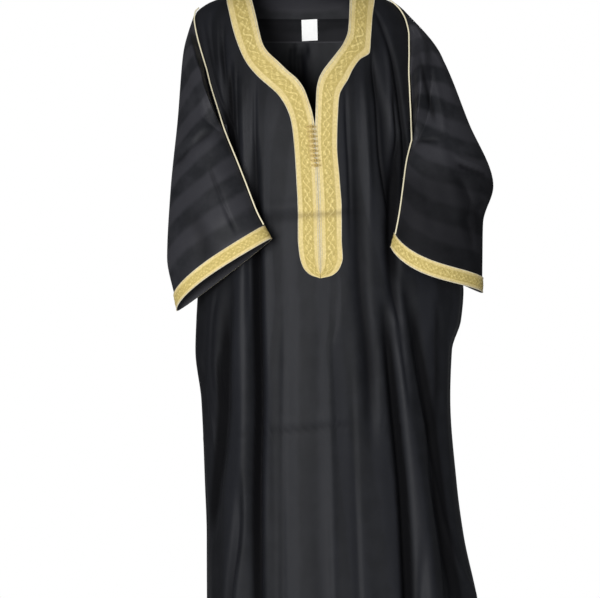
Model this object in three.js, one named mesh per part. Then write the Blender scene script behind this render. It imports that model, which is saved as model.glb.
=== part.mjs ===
// A thobe: an ankle-length gown of black striped satin with wide elbow-length sleeves, a V neck and a
// closed placket edged with gold galloon, gold cuff bands and gold piping in the armhole and sleeve seams.
// It is filled out as on a wearer: every piece is a thin wall, and neck, cuffs and hem are open.
// Millimetres, +Z up, the front faces -Y, the origin is the middle of the neck at the shoulder line.
import * as THREE from 'three';

// ---- driving sizes -------------------------------------------------------------------------------
const CLOTH = 1.6; // wall of every cloth panel
const BRAID = 2.0; // thickness of the galloon and the cuff bands
const SEAM = 0.3; // space between two pieces at a seam
const LAID = 0.7; // space under a piece that lies on a panel
const NECK_Z = 15; // height of the neck points and of the back of the neck
const V_TIP_Z = -254; // height of the neck's V
const HEM_Z = -1430;
const CORD_R = 1.7; // piping
const LAP = 4; // how far a sleeve laps over the edge of its armhole
const FACING = 1; // thickness of the facing inside the back of the neck
const FACING_Z = -76; // its lower edge
const NECK_HALF = 98; // half width of the back of the neck, along the shoulder line
const NECK_SPAN = 87 * (Math.PI / 180); // how far round the neck its bands reach from the middle
const SHEET = CLOTH / 2 + LAID; // from the middle of a panel to the foot of what lies on it
const LABEL = { x: 19, top: -29, width: 32, height: 42, thick: 0.8 };
const KNOT_R = 3.6;
const KNOTS = 9;
const KNOT_ROW = { top: -264, foot: -339, from: 7, to: 2 }; // heights, and how far left of the slit
const BODY_COLUMNS = 40;
const BACK_COLUMNS = 26;
const ROWS = { shoulder: 5, armhole: 7, skirt: 12 };
const RING = 26; // stations round a sleeve
const DEG = Math.PI / 180;

// Level sections of the body: the two sides, and how far front and back stand from the middle plane.
const BODY = [
  { z: 15, left: -98, right: 99, front: 8, back: 52 },
  { z: 8, left: -138, right: 144, front: 26, back: 56 },
  { z: 0, left: -166, right: 172, front: 36, back: 60 },
  { z: -10, left: -188, right: 190, front: 46, back: 64 },
  { z: -28, left: -208, right: 210, front: 58, back: 69 },
  { z: -60, left: -213, right: 229, front: 75, back: 77 },
  { z: -120, left: -214, right: 237, front: 96, back: 87 },
  { z: -200, left: -210, right: 241, front: 111, back: 94 },
  { z: -300, left: -205, right: 250, front: 117, back: 98 },
  { z: -420, left: -202, right: 272, front: 120, back: 101 },
  { z: -580, left: -204, right: 326, front: 123, back: 105 },
  { z: -640, left: -207, right: 321, front: 124, back: 107 },
  { z: -700, left: -209, right: 303, front: 125, back: 110 },
  { z: -800, left: -197, right: 300, front: 127, back: 115 },
  { z: -964, left: -189, right: 312, front: 131, back: 122 },
  { z: -1074, left: -185, right: 327, front: 135, back: 127 },
  { z: -1196, left: -185, right: 354, front: 141, back: 133 },
  { z: -1430, left: -192, right: 388, front: 150, back: 142 },
];

// Inner edge of the V neck, left and right of the slit.
const NECKLINE = [
  { z: 15, left: -98, right: 99 },
  { z: -5, left: -95, right: 98 },
  { z: -47, left: -85, right: 96 },
  { z: -78, left: -78, right: 93 },
  { z: -99, left: -72, right: 84 },
  { z: -111, left: -66, right: 76 },
  { z: -135, left: -42, right: 58 },
  { z: -154, left: -23, right: 44 },
  { z: -170, left: -5, right: 36 },
  { z: -189, left: 8, right: 31.5 },
  { z: -213, left: 17, right: 30.5 },
  { z: -254, left: 27, right: 29.5 },
];
const SLIT = [
  { z: -254, x: 28.3 },
  { z: -300, x: 29.5 },
  { z: -359, x: 33.5 },
  { z: -433, x: 36.5 },
  { z: -483, x: 38 },
  { z: -558, x: 39.5 },
];

// The armholes: top on the shoulder, underarm point, the front edge by height, and how far the back
// edge lies round the body, in degrees from the middle of the front.
const ARMHOLE = {
  left: {
    top: -28,
    under: -252,
    edge: [
      { z: -28, x: -208, back: 90 },
      { z: -45, x: -208, back: 90.4 },
      { z: -70, x: -202, back: 88.4 },
      { z: -104, x: -193, back: 84.5 },
      { z: -148, x: -181, back: 79.3 },
      { z: -195, x: -165, back: 70.3 },
      { z: -235, x: -152, back: 57.2 },
      { z: -252, x: -146, back: 46.8 },
    ],
  },
  right: {
    top: -10,
    under: -272,
    edge: [
      { z: -10, x: 190, back: 90 },
      { z: -36, x: 207, back: 89.5 },
      { z: -67, x: 216, back: 90.8 },
      { z: -132, x: 219, back: 90.1 },
      { z: -190, x: 220, back: 87.6 },
      { z: -235, x: 222, back: 79.2 },
      { z: -272, x: 223, back: 63.4 },
    ],
  },
};
const SEAM_SIDE_Z = -720; // height where the side seam has come round to the side

// Folds: where each runs and how deep it is (a negative depth is a ridge), with its half width.
const FOLDS = [
  { half: 15, rows: [{ z: -270, x: -87, depth: 0 }, { z: -405, x: -86, depth: 11 },
    { z: -580, x: -84, depth: 20 }, { z: -795, x: -80, depth: 22 }, { z: -990, x: -78, depth: 22 },
    { z: -1181, x: -74, depth: 18 }, { z: -1430, x: -66, depth: 15 }] },
  { half: 22, rows: [{ z: -300, x: -112, depth: 0 }, { z: -560, x: -112, depth: -9 },
    { z: -799, x: -108, depth: -12 }, { z: -1002, x: -116, depth: -12 }, { z: -1181, x: -128, depth: -14 },
    { z: -1430, x: -134, depth: -14 }] },
  { half: 13, rows: [{ z: -560, x: -140, depth: 0 }, { z: -700, x: -142, depth: 12 },
    { z: -820, x: -146, depth: 16 }, { z: -1002, x: -168, depth: 13 }, { z: -1110, x: -180, depth: 0 }] },
  { half: 11, rows: [{ z: -930, x: -114, depth: 0 }, { z: -1043, x: -116, depth: 12 },
    { z: -1181, x: -135, depth: 18 }, { z: -1430, x: -156, depth: 18 }] },
  { half: 15, rows: [{ z: -200, x: 104, depth: 0 }, { z: -405, x: 112, depth: 7 },
    { z: -565, x: 118, depth: 9 }, { z: -725, x: 134, depth: 10 }, { z: -900, x: 141, depth: 0 }] },
  { half: 16, rows: [{ z: -590, x: 163, depth: 0 }, { z: -694, x: 172, depth: 14 },
    { z: -799, x: 183, depth: 17 }, { z: -1002, x: 204, depth: 18 }, { z: -1181, x: 209, depth: 18 },
    { z: -1430, x: 214, depth: 17 }] },
  { half: 21, rows: [{ z: -600, x: 190, depth: 0 }, { z: -799, x: 212, depth: -9 },
    { z: -1002, x: 238, depth: -13 }, { z: -1181, x: 254, depth: -15 }, { z: -1430, x: 268, depth: -15 }] },
  { half: 15, rows: [{ z: -560, x: 206, depth: 0 }, { z: -680, x: 224, depth: 12 },
    { z: -836, x: 251, depth: 17 }, { z: -1048, x: 280, depth: 19 }, { z: -1181, x: 300, depth: 20 },
    { z: -1430, x: 322, depth: 18 }] },
  { half: 12, rows: [{ z: -70, x: -156, depth: 0 }, { z: -120, x: -152, depth: 6 },
    { z: -200, x: -137, depth: 8 }, { z: -307, x: -131, depth: 7 }, { z: -420, x: -132, depth: 0 }] },
  { half: 12, rows: [{ z: -115, x: 137, depth: 0 }, { z: -167, x: 148, depth: 7 },
    { z: -245, x: 163, depth: 9 }, { z: -366, x: 171, depth: 7 }, { z: -430, x: 173, depth: 0 }] },
  { back: true, half: 16, rows: [{ z: -110, x: 2, depth: 0 }, { z: -260, x: 4, depth: 9 },
    { z: -520, x: 14, depth: 12 }, { z: -900, x: 30, depth: 16 }, { z: -1430, x: 52, depth: 18 }] },
  { back: true, half: 17, rows: [{ z: -240, x: -92, depth: 0 }, { z: -520, x: -96, depth: 10 },
    { z: -900, x: -98, depth: 17 }, { z: -1430, x: -104, depth: 19 }] },
  { back: true, half: 24, rows: [{ z: -300, x: -44, depth: 0 }, { z: -900, x: -36, depth: -11 },
    { z: -1430, x: -26, depth: -15 }] },
  { back: true, half: 17, rows: [{ z: -260, x: 96, depth: 0 }, { z: -560, x: 122, depth: 11 },
    { z: -900, x: 146, depth: 17 }, { z: -1430, x: 186, depth: 20 }] },
  { back: true, half: 23, rows: [{ z: -380, x: 62, depth: 0 }, { z: -900, x: 90, depth: -12 },
    { z: -1430, x: 118, depth: -15 }] },
  { back: true, half: 18, rows: [{ z: -600, x: 196, depth: 0 }, { z: -900, x: 226, depth: 13 },
    { z: -1430, x: 284, depth: 18 }] },
];

// The galloon: inner and outer edge from the shoulder seam down to the foot of the placket.
const GALLOON = {
  left: [
    { x: -98, z: 15, outer_x: -148, outer_z: 5 },
    { x: -97, z: 3, outer_x: -145, outer_z: -10 },
    { x: -93, z: -14, outer_x: -140, outer_z: -32 },
    { x: -89, z: -30, outer_x: -134, outer_z: -58 },
    { x: -85, z: -47, outer_x: -126, outer_z: -86 },
    { x: -80, z: -70, outer_x: -118, outer_z: -108 },
    { x: -73, z: -97, outer_x: -110, outer_z: -126 },
    { x: -64, z: -113, outer_x: -99, outer_z: -144 },
    { x: -42, z: -135, outer_x: -80, outer_z: -166 },
    { x: -23, z: -154, outer_x: -60, outer_z: -184 },
    { x: -5, z: -170, outer_x: -44, outer_z: -199 },
    { x: 8, z: -189, outer_x: -28, outer_z: -223 },
    { x: 17, z: -213, outer_x: -19, outer_z: -246 },
    { x: 25, z: -240, outer_x: -15, outer_z: -266 },
    { x: 28, z: -262, outer_x: -12.5, outer_z: -287 },
    { x: 29, z: -300, outer_x: -10, outer_z: -316 },
    { x: 33, z: -359, outer_x: -7, outer_z: -367 },
    { x: 36, z: -433, outer_x: -4, outer_z: -433 },
    { x: 37.5, z: -478, outer_x: -4, outer_z: -478 },
    { x: 38, z: -505, outer_x: -1, outer_z: -512 },
    { x: 38.4, z: -525, outer_x: 6, outer_z: -536 },
    { x: 38.7, z: -540, outer_x: 20, outer_z: -551 },
    { x: 38.9, z: -548, outer_x: 38.9, outer_z: -558 },
  ],
  right: [
    { x: 99, z: 15, outer_x: 151, outer_z: 5 },
    { x: 98.5, z: 3, outer_x: 147, outer_z: -14 },
    { x: 98, z: -12, outer_x: 143, outer_z: -38 },
    { x: 97, z: -32, outer_x: 141, outer_z: -60 },
    { x: 96, z: -50, outer_x: 139, outer_z: -84 },
    { x: 94, z: -72, outer_x: 136, outer_z: -115 },
    { x: 85, z: -97, outer_x: 117, outer_z: -130 },
    { x: 70, z: -119, outer_x: 103, outer_z: -150 },
    { x: 57, z: -136, outer_x: 92, outer_z: -173 },
    { x: 44, z: -154, outer_x: 83, outer_z: -187 },
    { x: 36, z: -171, outer_x: 77, outer_z: -201 },
    { x: 32, z: -191, outer_x: 75, outer_z: -216 },
    { x: 30.8, z: -215, outer_x: 74, outer_z: -234 },
    { x: 29.6, z: -262, outer_x: 72.5, outer_z: -268 },
    { x: 30.2, z: -300, outer_x: 72, outer_z: -300 },
    { x: 34.2, z: -359, outer_x: 77, outer_z: -367 },
    { x: 37.2, z: -433, outer_x: 81, outer_z: -433 },
    { x: 38.7, z: -483, outer_x: 81, outer_z: -483 },
    { x: 39.2, z: -508, outer_x: 83, outer_z: -518 },
    { x: 39.6, z: -525, outer_x: 76, outer_z: -540 },
    { x: 39.8, z: -540, outer_x: 61, outer_z: -553 },
    { x: 40, z: -548, outer_x: 40, outer_z: -558 },
  ],
};
// Across the galloon: share of its width, and how far the face stands up there.
const RELIEF = [
  { across: 0, rise: 0.9 },
  { across: 0.13, rise: 0.1 },
  { across: 0.28, rise: 0.8 },
  { across: 0.5, rise: 0.8 },
  { across: 0.72, rise: 0.8 },
  { across: 0.87, rise: 0.1 },
  { across: 1, rise: 0.9 },
];

// Sleeve sections from the armhole to the cuff: the fold edge towards the body (in), the outer fold
// edge (out), how far the front and the back layer stand from the line between them, and their sag.
const SLEEVE_COLUMNS = ['t', 'in_x', 'in_y', 'in_z', 'out_x', 'out_y', 'out_z', 'front', 'back', 'sag'];
const sleeveRows = (rows) => rows.map((row) => Object.fromEntries(row.map((v, i) => [SLEEVE_COLUMNS[i], v])));
const SLEEVE = {
  left: sleeveRows([
    [0, -146, -88, -252, -208, 0, -28, 36, 38, 0],
    [0.2, -142, -92, -264, -231, -16, -112, 34, 26, 0],
    [0.45, -127, -106, -305, -241, -42, -244, 34, 18, 2],
    [0.7, -101, -129, -375, -254, -70, -395, 38, 16, 6],
    [0.87, -80, -142, -435, -259, -88, -520, 42, 19, 11],
    [0.95, -70, -146.5, -457.5, -244, -96.5, -592.5, 43, 21, 12],
    [1, -56, -150, -483, -238, -100, -621, 44, 22, 13],
  ]),
  right: sleeveRows([
    [0, 223, -58, -272, 190, 0, -10, 36, 38, 0],
    [0.2, 219.5, -64, -284, 277, -14, -108, 36, 29, 0],
    [0.45, 210.5, -81, -320, 334, -34, -250, 38, 21, -6],
    [0.66, 201.5, -105, -375, 380, -56, -374, 44, 19, -13],
    [0.8, 194.5, -120, -420, 358, -74, -450, 46, 19, -20],
    [0.95, 184.5, -131, -470, 355, -88, -557, 47.5, 22, -24.5],
    [1, 177, -134, -498, 354, -92, -586, 48, 22, -26],
  ]),
};
const BAND_T = 0.95; // where a cuff band starts
const SLEEVE_ROWS = 11;
const SLEEVE_CLEAR = 8; // space that the sleeve keeps to the body
const LAYERS = 32; // and what its front layer keeps on top of that, near its fold edge

// ---- helpers ---------------------------------------------------------------------------------------
const mix = (a, b, t) => a + (b - a) * t;
const clamp = (v, lo, hi) => Math.min(hi, Math.max(lo, v));
const smooth = (t) => {
  const c = clamp(t, 0, 1);
  return c * c * (3 - 2 * c);
};
const vec = (x, y, z) => new THREE.Vector3(x, y, z);

// Value of a column of a table at a key, on a curve through the rows that adds no bumps of its own.
function at(rows, key, column, value) {
  const falling = rows[0][key] > rows[rows.length - 1][key];
  const k = falling ? -value : value;
  const place = (i) => (falling ? -rows[i][key] : rows[i][key]);
  if (k <= place(0)) return rows[0][column];
  if (k >= place(rows.length - 1)) return rows[rows.length - 1][column];
  let i = 0;
  while (k > place(i + 1)) i += 1;
  const slope = (j) => (rows[j + 1][column] - rows[j][column]) / (place(j + 1) - place(j));
  const tangent = (j) => {
    if (j === 0 || j === rows.length - 1) return slope(j === 0 ? 0 : j - 1);
    const [before, after] = [slope(j - 1), slope(j)];
    return before * after <= 0 ? 0 : (2 * before * after) / (before + after);
  };
  const span = place(i + 1) - place(i);
  const t = (k - place(i)) / span;
  const [t2, t3] = [t * t, t * t * t];
  return (2 * t3 - 3 * t2 + 1) * rows[i][column] + (t3 - 2 * t2 + t) * span * tangent(i) +
    (3 * t2 - 2 * t3) * rows[i + 1][column] + (t3 - t2) * span * tangent(i + 1);
}

// ---- the body's surface ----------------------------------------------------------------------------
const section = (z) => {
  const left = at(BODY, 'z', 'left', z);
  const right = at(BODY, 'z', 'right', z);
  return {
    middle: (left + right) / 2,
    half: (right - left) / 2,
    front: at(BODY, 'z', 'front', z),
    back: at(BODY, 'z', 'back', z),
  };
};

// How deep the folds are at a place, the ridges taken off.
function foldDepth(x, z, onBack) {
  let sum = 0;
  for (const fold of FOLDS) {
    if (Boolean(fold.back) !== onBack) continue;
    const depth = at(fold.rows, 'z', 'depth', z);
    if (depth === 0) continue;
    const away = (x - at(fold.rows, 'z', 'x', z)) / fold.half;
    sum += depth * Math.exp(-away * away);
  }
  return sum;
}

// Point of the body at an angle from the middle of the front (positive towards +X), moved out.
function bodyBase(angle, z) {
  const s = section(z);
  const reach = Math.cos(angle) > 0 ? s.front : s.back;
  const x = s.middle + s.half * Math.sin(angle);
  const depth = foldDepth(x, z, Math.cos(angle) <= 0);
  const out = vec(Math.sin(angle) / s.half, -Math.cos(angle) / reach, 0).normalize();
  return vec(x, -reach * Math.cos(angle), z).addScaledVector(out, -depth * Math.abs(Math.cos(angle)) ** 0.5);
}

function normalOf(surface, u, v, du, dv) {
  const along = surface(u + du, v).sub(surface(u - du, v));
  const down = surface(u, v - dv).sub(surface(u, v + dv));
  return down.cross(along).normalize();
}

function body(angle, z, out = 0) {
  const point = bodyBase(angle, z);
  const stop = Math.min(z, NECK_Z - 0.6);
  return out === 0 ? point : point.addScaledVector(normalOf(bodyBase, angle, stop, 0.01, 0.5), out);
}

const angleAt = (x, z) => {
  const s = section(z);
  return Math.asin(clamp((x - s.middle) / s.half, -1, 1));
};
const frontPoint = (x, z, out) => body(angleAt(x, z), z, out);

// ---- armholes and side seams -----------------------------------------------------------------------
const sign = { left: -1, right: 1 };
const frontEdge = (side, z) => Math.abs(angleAt(at(ARMHOLE[side].edge, 'z', 'x', z), z));
const backEdge = (side, z) => at(ARMHOLE[side].edge, 'z', 'back', z) * DEG;

// Angle of a panel's edge at a height: shoulder seam, armhole, then the side seam.
function edgeAngle(side, z, onBack) {
  const { top, under } = ARMHOLE[side];
  if (z >= top) return 90 * DEG;
  if (z > under) return onBack ? backEdge(side, z) : frontEdge(side, z);
  return mix(frontEdge(side, under), 90 * DEG, smooth((z - under) / (SEAM_SIDE_Z - under)));
}

// Heights of a panel's rows along its edge, with one on the armhole's top and one on its underarm point.
function edgeRows(side) {
  const { top, under } = ARMHOLE[side];
  const rows = [];
  for (let i = 0; i < ROWS.shoulder; i += 1) rows.push(mix(NECK_Z, top, i / ROWS.shoulder));
  for (let i = 0; i < ROWS.armhole; i += 1) {
    rows.push(mix(top, under, (1 - Math.cos((Math.PI * i) / ROWS.armhole)) / 2));
  }
  for (let i = 0; i <= ROWS.skirt; i += 1) rows.push(mix(under, HEM_Z, (i / ROWS.skirt) ** 1.25));
  return rows;
}
const EDGE_ROWS = { left: edgeRows('left'), right: edgeRows('right') };

// ---- solids ------------------------------------------------------------------------------------------
// A closed wall from two grids of points, its outer and inner face; a ring closes on itself.
function wallGeometry(outer, inner, ring = false) {
  const rows = outer.length;
  const columns = outer[0].length;
  const positions = [];
  for (const face of [outer, inner]) {
    for (const row of face) for (const p of row) positions.push(p.x, p.y, p.z);
  }
  const index = [];
  const id = (face, i, j) => face * rows * columns + i * columns + (j % columns);
  const quad = (a, b, c, d) => index.push(a, b, c, a, c, d);
  const spans = ring ? columns : columns - 1;
  for (let i = 0; i < rows - 1; i += 1) {
    for (let j = 0; j < spans; j += 1) {
      quad(id(0, i, j), id(0, i + 1, j), id(0, i + 1, j + 1), id(0, i, j + 1));
      quad(id(1, i, j), id(1, i, j + 1), id(1, i + 1, j + 1), id(1, i + 1, j));
    }
  }
  for (let j = 0; j < spans; j += 1) {
    quad(id(0, 0, j), id(0, 0, j + 1), id(1, 0, j + 1), id(1, 0, j));
    quad(id(0, rows - 1, j + 1), id(0, rows - 1, j), id(1, rows - 1, j), id(1, rows - 1, j + 1));
  }
  if (!ring) {
    for (let i = 0; i < rows - 1; i += 1) {
      quad(id(0, i + 1, 0), id(0, i, 0), id(1, i, 0), id(1, i + 1, 0));
      const last = columns - 1;
      quad(id(0, i, last), id(0, i + 1, last), id(1, i + 1, last), id(1, i, last));
    }
  }
  const geometry = new THREE.BufferGeometry();
  geometry.setAttribute('position', new THREE.Float32BufferAttribute(positions, 3));
  geometry.setIndex(index);
  return geometry;
}

// A round cord through points, with flat ends.
function cordGeometry(points, radius, sides, steps) {
  const circle = new THREE.Shape();
  circle.absarc(0, 0, radius, 0, 2 * Math.PI);
  return new THREE.ExtrudeGeometry(circle, {
    steps,
    curveSegments: sides,
    bevelEnabled: false,
    extrudePath: new THREE.CatmullRomCurve3(points, false, 'centripetal'),
  });
}

const group = new THREE.Group();
const satin = { color: 0x2d2e32, roughness: 0.42, metalness: 0 };
const gold = { color: 0xd2bd78, roughness: 0.5, metalness: 0.35 };
const white = { color: 0xeceae4, roughness: 0.7, metalness: 0 };

function add(name, geometry, finish) {
  const mesh = new THREE.Mesh(geometry, new THREE.MeshStandardMaterial(finish));
  mesh.name = name;
  group.add(mesh);
}

// ---- front and back panels ---------------------------------------------------------------------------
const slitAngle = angleAt(at(SLIT, 'z', 'x', V_TIP_Z), V_TIP_Z);
const KNEE = { front: 30 * DEG, back: 60 * DEG };

// A column keeps its angle near the middle and follows the panel's edge near its side.
function columnAngle(angle, z, onBack) {
  const side = angle < 0 ? 'left' : 'right';
  const knee = onBack ? KNEE.back : KNEE.front;
  const size = Math.abs(angle);
  if (size <= knee) return angle;
  const edge = onBack ? Math.PI - edgeAngle(side, z, true) : edgeAngle(side, z, false);
  const seam = SEAM / 2 / section(z).back;
  return sign[side] * (knee + ((size - knee) * (edge - seam - knee)) / (90 * DEG - knee));
}

// Height at which a column of the front meets the neckline.
function necklineHeight(angle) {
  const side = angle < slitAngle ? 'left' : 'right';
  let [high, low] = [NECK_Z, V_TIP_Z];
  for (let i = 0; i < 40; i += 1) {
    const z = (high + low) / 2;
    const edge = angleAt(at(NECKLINE, 'z', side, z), z);
    if (side === 'left' ? edge < angle : edge > angle) high = z;
    else low = z;
  }
  return (high + low) / 2;
}

function panel(columns, onBack) {
  const grids = [[], []];
  for (let i = 0; i < EDGE_ROWS.left.length; i += 1) {
    const rows = [[], []];
    for (let j = 0; j <= columns; j += 1) {
      const u = (2 * j) / columns - 1;
      const angle = 90 * DEG * (0.75 * u + 0.25 * u ** 3);
      const top = onBack ? NECK_Z : necklineHeight(angle);
      const edge = mix(EDGE_ROWS.left[i], EDGE_ROWS.right[i], (u + 1) / 2);
      const z = mix(top, HEM_Z, (edge - NECK_Z) / (HEM_Z - NECK_Z));
      const turned = columnAngle(angle, z, onBack);
      const place = onBack ? Math.PI - turned : turned;
      rows[0].push(body(place, z, CLOTH / 2));
      rows[1].push(body(place, z, -CLOTH / 2));
    }
    grids[0].push(onBack ? rows[0].reverse() : rows[0]);
    grids[1].push(onBack ? rows[1].reverse() : rows[1]);
  }
  return wallGeometry(grids[0], grids[1]);
}

// ---- sleeves -------------------------------------------------------------------------------------------
// The armhole as a loop on the body, from the underarm point up the front edge and down the back one,
// made larger all round by a margin, or not downwards.
function armholePoint(side, turn, margin, out, downwards = true) {
  const { top, under } = ARMHOLE[side];
  const along = turn < 0.5 ? turn * 2 : 2 - turn * 2;
  const z = mix(under, top, (1 - Math.cos(Math.PI * along)) / 2);
  const angle = turn < 0.5 ? frontEdge(side, z) : backEdge(side, z);
  const centreZ = (top + under) / 2;
  const centre = mix(frontEdge(side, centreZ), backEdge(side, centreZ), 0.45);
  const radius = section(z).front;
  const [dx, dz] = [(angle - centre) * radius, z - centreZ];
  const lift = downwards ? dz : Math.max(0, dz);
  const share = margin / Math.hypot(dx, lift);
  return body(sign[side] * (centre + (dx * (1 + share)) / radius), z + lift * share, out);
}

// Ring of the sleeve as a flattened tube between its two fold edges.
function tubePoint(side, turn, t) {
  const get = (column) => at(SLEEVE[side], 't', column, t);
  const inner = vec(get('in_x'), get('in_y'), get('in_z'));
  const outer = vec(get('out_x'), get('out_y'), get('out_z'));
  const angle = turn * 2 * Math.PI;
  const point = inner.clone().lerp(outer, (1 - Math.cos(angle)) / 2);
  const front = vec(sign[side] * 0.2, -0.98, 0);
  point.addScaledVector(front, Math.sin(angle) * (Math.sin(angle) > 0 ? get('front') : get('back')));
  const skew = get('sag') < 0 ? 1 + Math.cos(angle) : 1 - Math.cos(angle);
  point.z += (get('sag') * Math.max(0, Math.sin(angle)) * skew) / 1.3;
  return point;
}

// Moves a point forwards, out of the body, until it has a clear space to it.
function clearOfBody(point, clear) {
  const s = section(point.z);
  const side = (point.x - s.middle) / (s.half + clear);
  if (Math.abs(side) >= 1) return point;
  const front = -(s.front + clear) * Math.sqrt(1 - side * side);
  return point.y <= front ? point : vec(point.x, front, point.z);
}

function sleevePoint(side, turn, t) {
  const start = armholePoint(side, turn, LAP, CLOTH + 2 * LAID);
  if (t <= 0) return start;
  const offset = start.sub(tubePoint(side, turn, 0)).multiplyScalar(1 - smooth(t / 0.5));
  const layer = LAYERS * Math.max(0, Math.sin(turn * 2 * Math.PI)) * smooth(t / 0.1);
  return clearOfBody(tubePoint(side, turn, t).add(offset), Math.min(SLEEVE_CLEAR, 3 + 70 * t) + layer);
}

function sleeveOut(side, turn, t, out) {
  const wrap = (u, v) => sleevePoint(side, (u + 1) % 1, v);
  const inside = clamp(t, 0.012, 0.988);
  const normal = normalOf(wrap, turn, inside, 0.004, -0.01).multiplyScalar(sign[side]);
  return sleevePoint(side, turn, t).addScaledVector(normal, out);
}

function sleeveRings(side, times, out, relief = () => 0) {
  return times.map((t, row) => {
    const ring = [];
    for (let j = 0; j < RING; j += 1) ring.push(sleeveOut(side, j / RING, t, out + relief(row)));
    return side === 'right' ? ring : ring.reverse();
  });
}

function sleeve(side) {
  const times = [];
  for (let i = 0; i < SLEEVE_ROWS; i += 1) times.push((BAND_T * i) / SLEEVE_ROWS);
  times.push(BAND_T, 1);
  return wallGeometry(sleeveRings(side, times, CLOTH / 2), sleeveRings(side, times, -CLOTH / 2), true);
}

function cuffBand(side) {
  const times = RELIEF.map((row) => mix(BAND_T, 1, row.across));
  return wallGeometry(
    sleeveRings(side, times, SHEET + BRAID * 0.6, (row) => RELIEF[row].rise),
    sleeveRings(side, times, SHEET),
    true,
  );
}

// ---- galloon, piping, knots, facing and label ----------------------------------------------------------
// Over the shoulder, where the cloth turns most, there are stations between the table's rows too.
function galloonStations(rows) {
  const stations = [];
  for (let i = 0; i < rows.length - 1; i += 1) {
    const parts = i < 4 ? 4 - i : 1;
    for (let k = 0; k < parts; k += 1) {
      const station = {};
      for (const column of Object.keys(rows[i])) {
        station[column] = mix(rows[i][column], rows[i + 1][column], k / parts);
      }
      stations.push(station);
    }
  }
  return [...stations, rows[rows.length - 1]];
}

function galloon(side) {
  const faces = [[], []];
  for (const row of galloonStations(GALLOON[side])) {
    const lines = [[], []];
    for (const { across, rise } of RELIEF) {
      const [x, z] = [mix(row.x, row.outer_x, across), mix(row.z, row.outer_z, across)];
      lines[0].push(frontPoint(x, z, SHEET + BRAID * 0.6 + rise));
      lines[1].push(frontPoint(x, z, SHEET));
    }
    faces[0].push(side === 'left' ? lines[0].reverse() : lines[0]);
    faces[1].push(side === 'left' ? lines[1].reverse() : lines[1]);
  }
  return wallGeometry(faces[0], faces[1]);
}

// A band round the back of the neck: the half width and height of its lower edge at the middle and
// at its ends, and how far its two faces stand out from the back panel.
function neckBand({ half, low, end, foot, face, relief }) {
  const faces = [[], []];
  const stations = 24;
  for (const { across, rise } of RELIEF) {
    const lines = [[], []];
    for (let j = 0; j <= stations; j += 1) {
      const u = 1 - (2 * j) / stations;
      const x = mix(NECK_HALF, half, across) * Math.sin(u * NECK_SPAN);
      const z = mix(NECK_Z, mix(low, end, u * u), across);
      lines[0].push(body(Math.PI - angleAt(x, z), z, face + rise * relief));
      lines[1].push(body(Math.PI - angleAt(x, z), z, foot));
    }
    faces[0].push(lines[0]);
    faces[1].push(lines[1]);
  }
  return faces;
}

// Along the sleeve's seam and up the front edge of the armhole, over the shoulder and a little down the
// back, where it keeps more space to the sleeve.
function piping(side) {
  const points = [];
  const lift = SHEET + CORD_R;
  for (let t = 0.93; t > 0.12; t -= 0.08) points.push(sleeveOut(side, 0.02, t, lift + 3 * SEAM));
  for (let turn = 0.08; turn < 0.6; turn += 0.04) {
    const space = SEAM * mix(8, 25, smooth((turn - 0.2) / 0.2));
    points.push(armholePoint(side, turn, LAP + CORD_R + CLOTH + space, lift + SEAM, false));
  }
  return cordGeometry(points, CORD_R, 3, 60);
}

// The bare woven label hangs from the facing's upper seam, inside the back of the neck.
function label() {
  const faces = [[], []];
  for (let i = 0; i <= 3; i += 1) {
    const z = LABEL.top - (LABEL.height * i) / 3;
    const lines = [[], []];
    for (let j = 0; j <= 3; j += 1) {
      const angle = Math.PI - angleAt(LABEL.x + LABEL.width * (j / 3 - 0.5), z);
      lines[0].push(body(angle, z, -SHEET - FACING - LAID));
      lines[1].push(body(angle, z, -SHEET - FACING - LAID - LABEL.thick));
    }
    faces[0].push(lines[0].reverse());
    faces[1].push(lines[1].reverse());
  }
  return wallGeometry(faces[0], faces[1]);
}

function knot(index) {
  const share = index / (KNOTS - 1);
  const z = mix(KNOT_ROW.top, KNOT_ROW.foot, share);
  const x = at(SLIT, 'z', 'x', z) - mix(KNOT_ROW.from, KNOT_ROW.to, share);
  const ball = new THREE.IcosahedronGeometry(KNOT_R, 1);
  ball.deleteAttribute('normal');
  ball.deleteAttribute('uv');
  const seat = frontPoint(x, z, SHEET + BRAID * 0.8 + SEAM + KNOT_R);
  ball.translate(seat.x, seat.y, seat.z);
  return ball;
}

add('front_panel', panel(BODY_COLUMNS, false), satin);
add('back_panel', panel(BACK_COLUMNS, true), satin);
for (const side of ['left', 'right']) {
  add(`sleeve_${side}`, sleeve(side), satin);
  add(`cuff_band_${side}`, cuffBand(side), gold);
  add(`galloon_${side}`, galloon(side), gold);
  add(`piping_${side}`, piping(side), gold);
}
const outside = { half: 146, low: -34, end: 6, foot: SHEET + 2 * SEAM, face: SHEET + BRAID, relief: 1 };
const [braid, braidFoot] = neckBand(outside);
add('galloon_back', wallGeometry(braid, braidFoot), gold);
const inside = { half: 116, low: FACING_Z, end: FACING_Z, foot: -SHEET, face: -SHEET - FACING, relief: 0 };
const [lining, liningFoot] = neckBand(inside);
add('neck_facing', wallGeometry(liningFoot, lining), satin);
add('label', label(), white);
for (let i = 0; i < KNOTS; i += 1) add(`knot_${i + 1}`, knot(i), gold);

export default group;
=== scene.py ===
"""A black striped satin thobe with gold galloon, cuff bands, piping and knotted buttons.

The pieces are sheets and cords worked out from tables in millimetres, and made in metres in the
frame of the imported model: +Z up, the front faces -Y, the origin is the middle of the neck.
"""
import math

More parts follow.
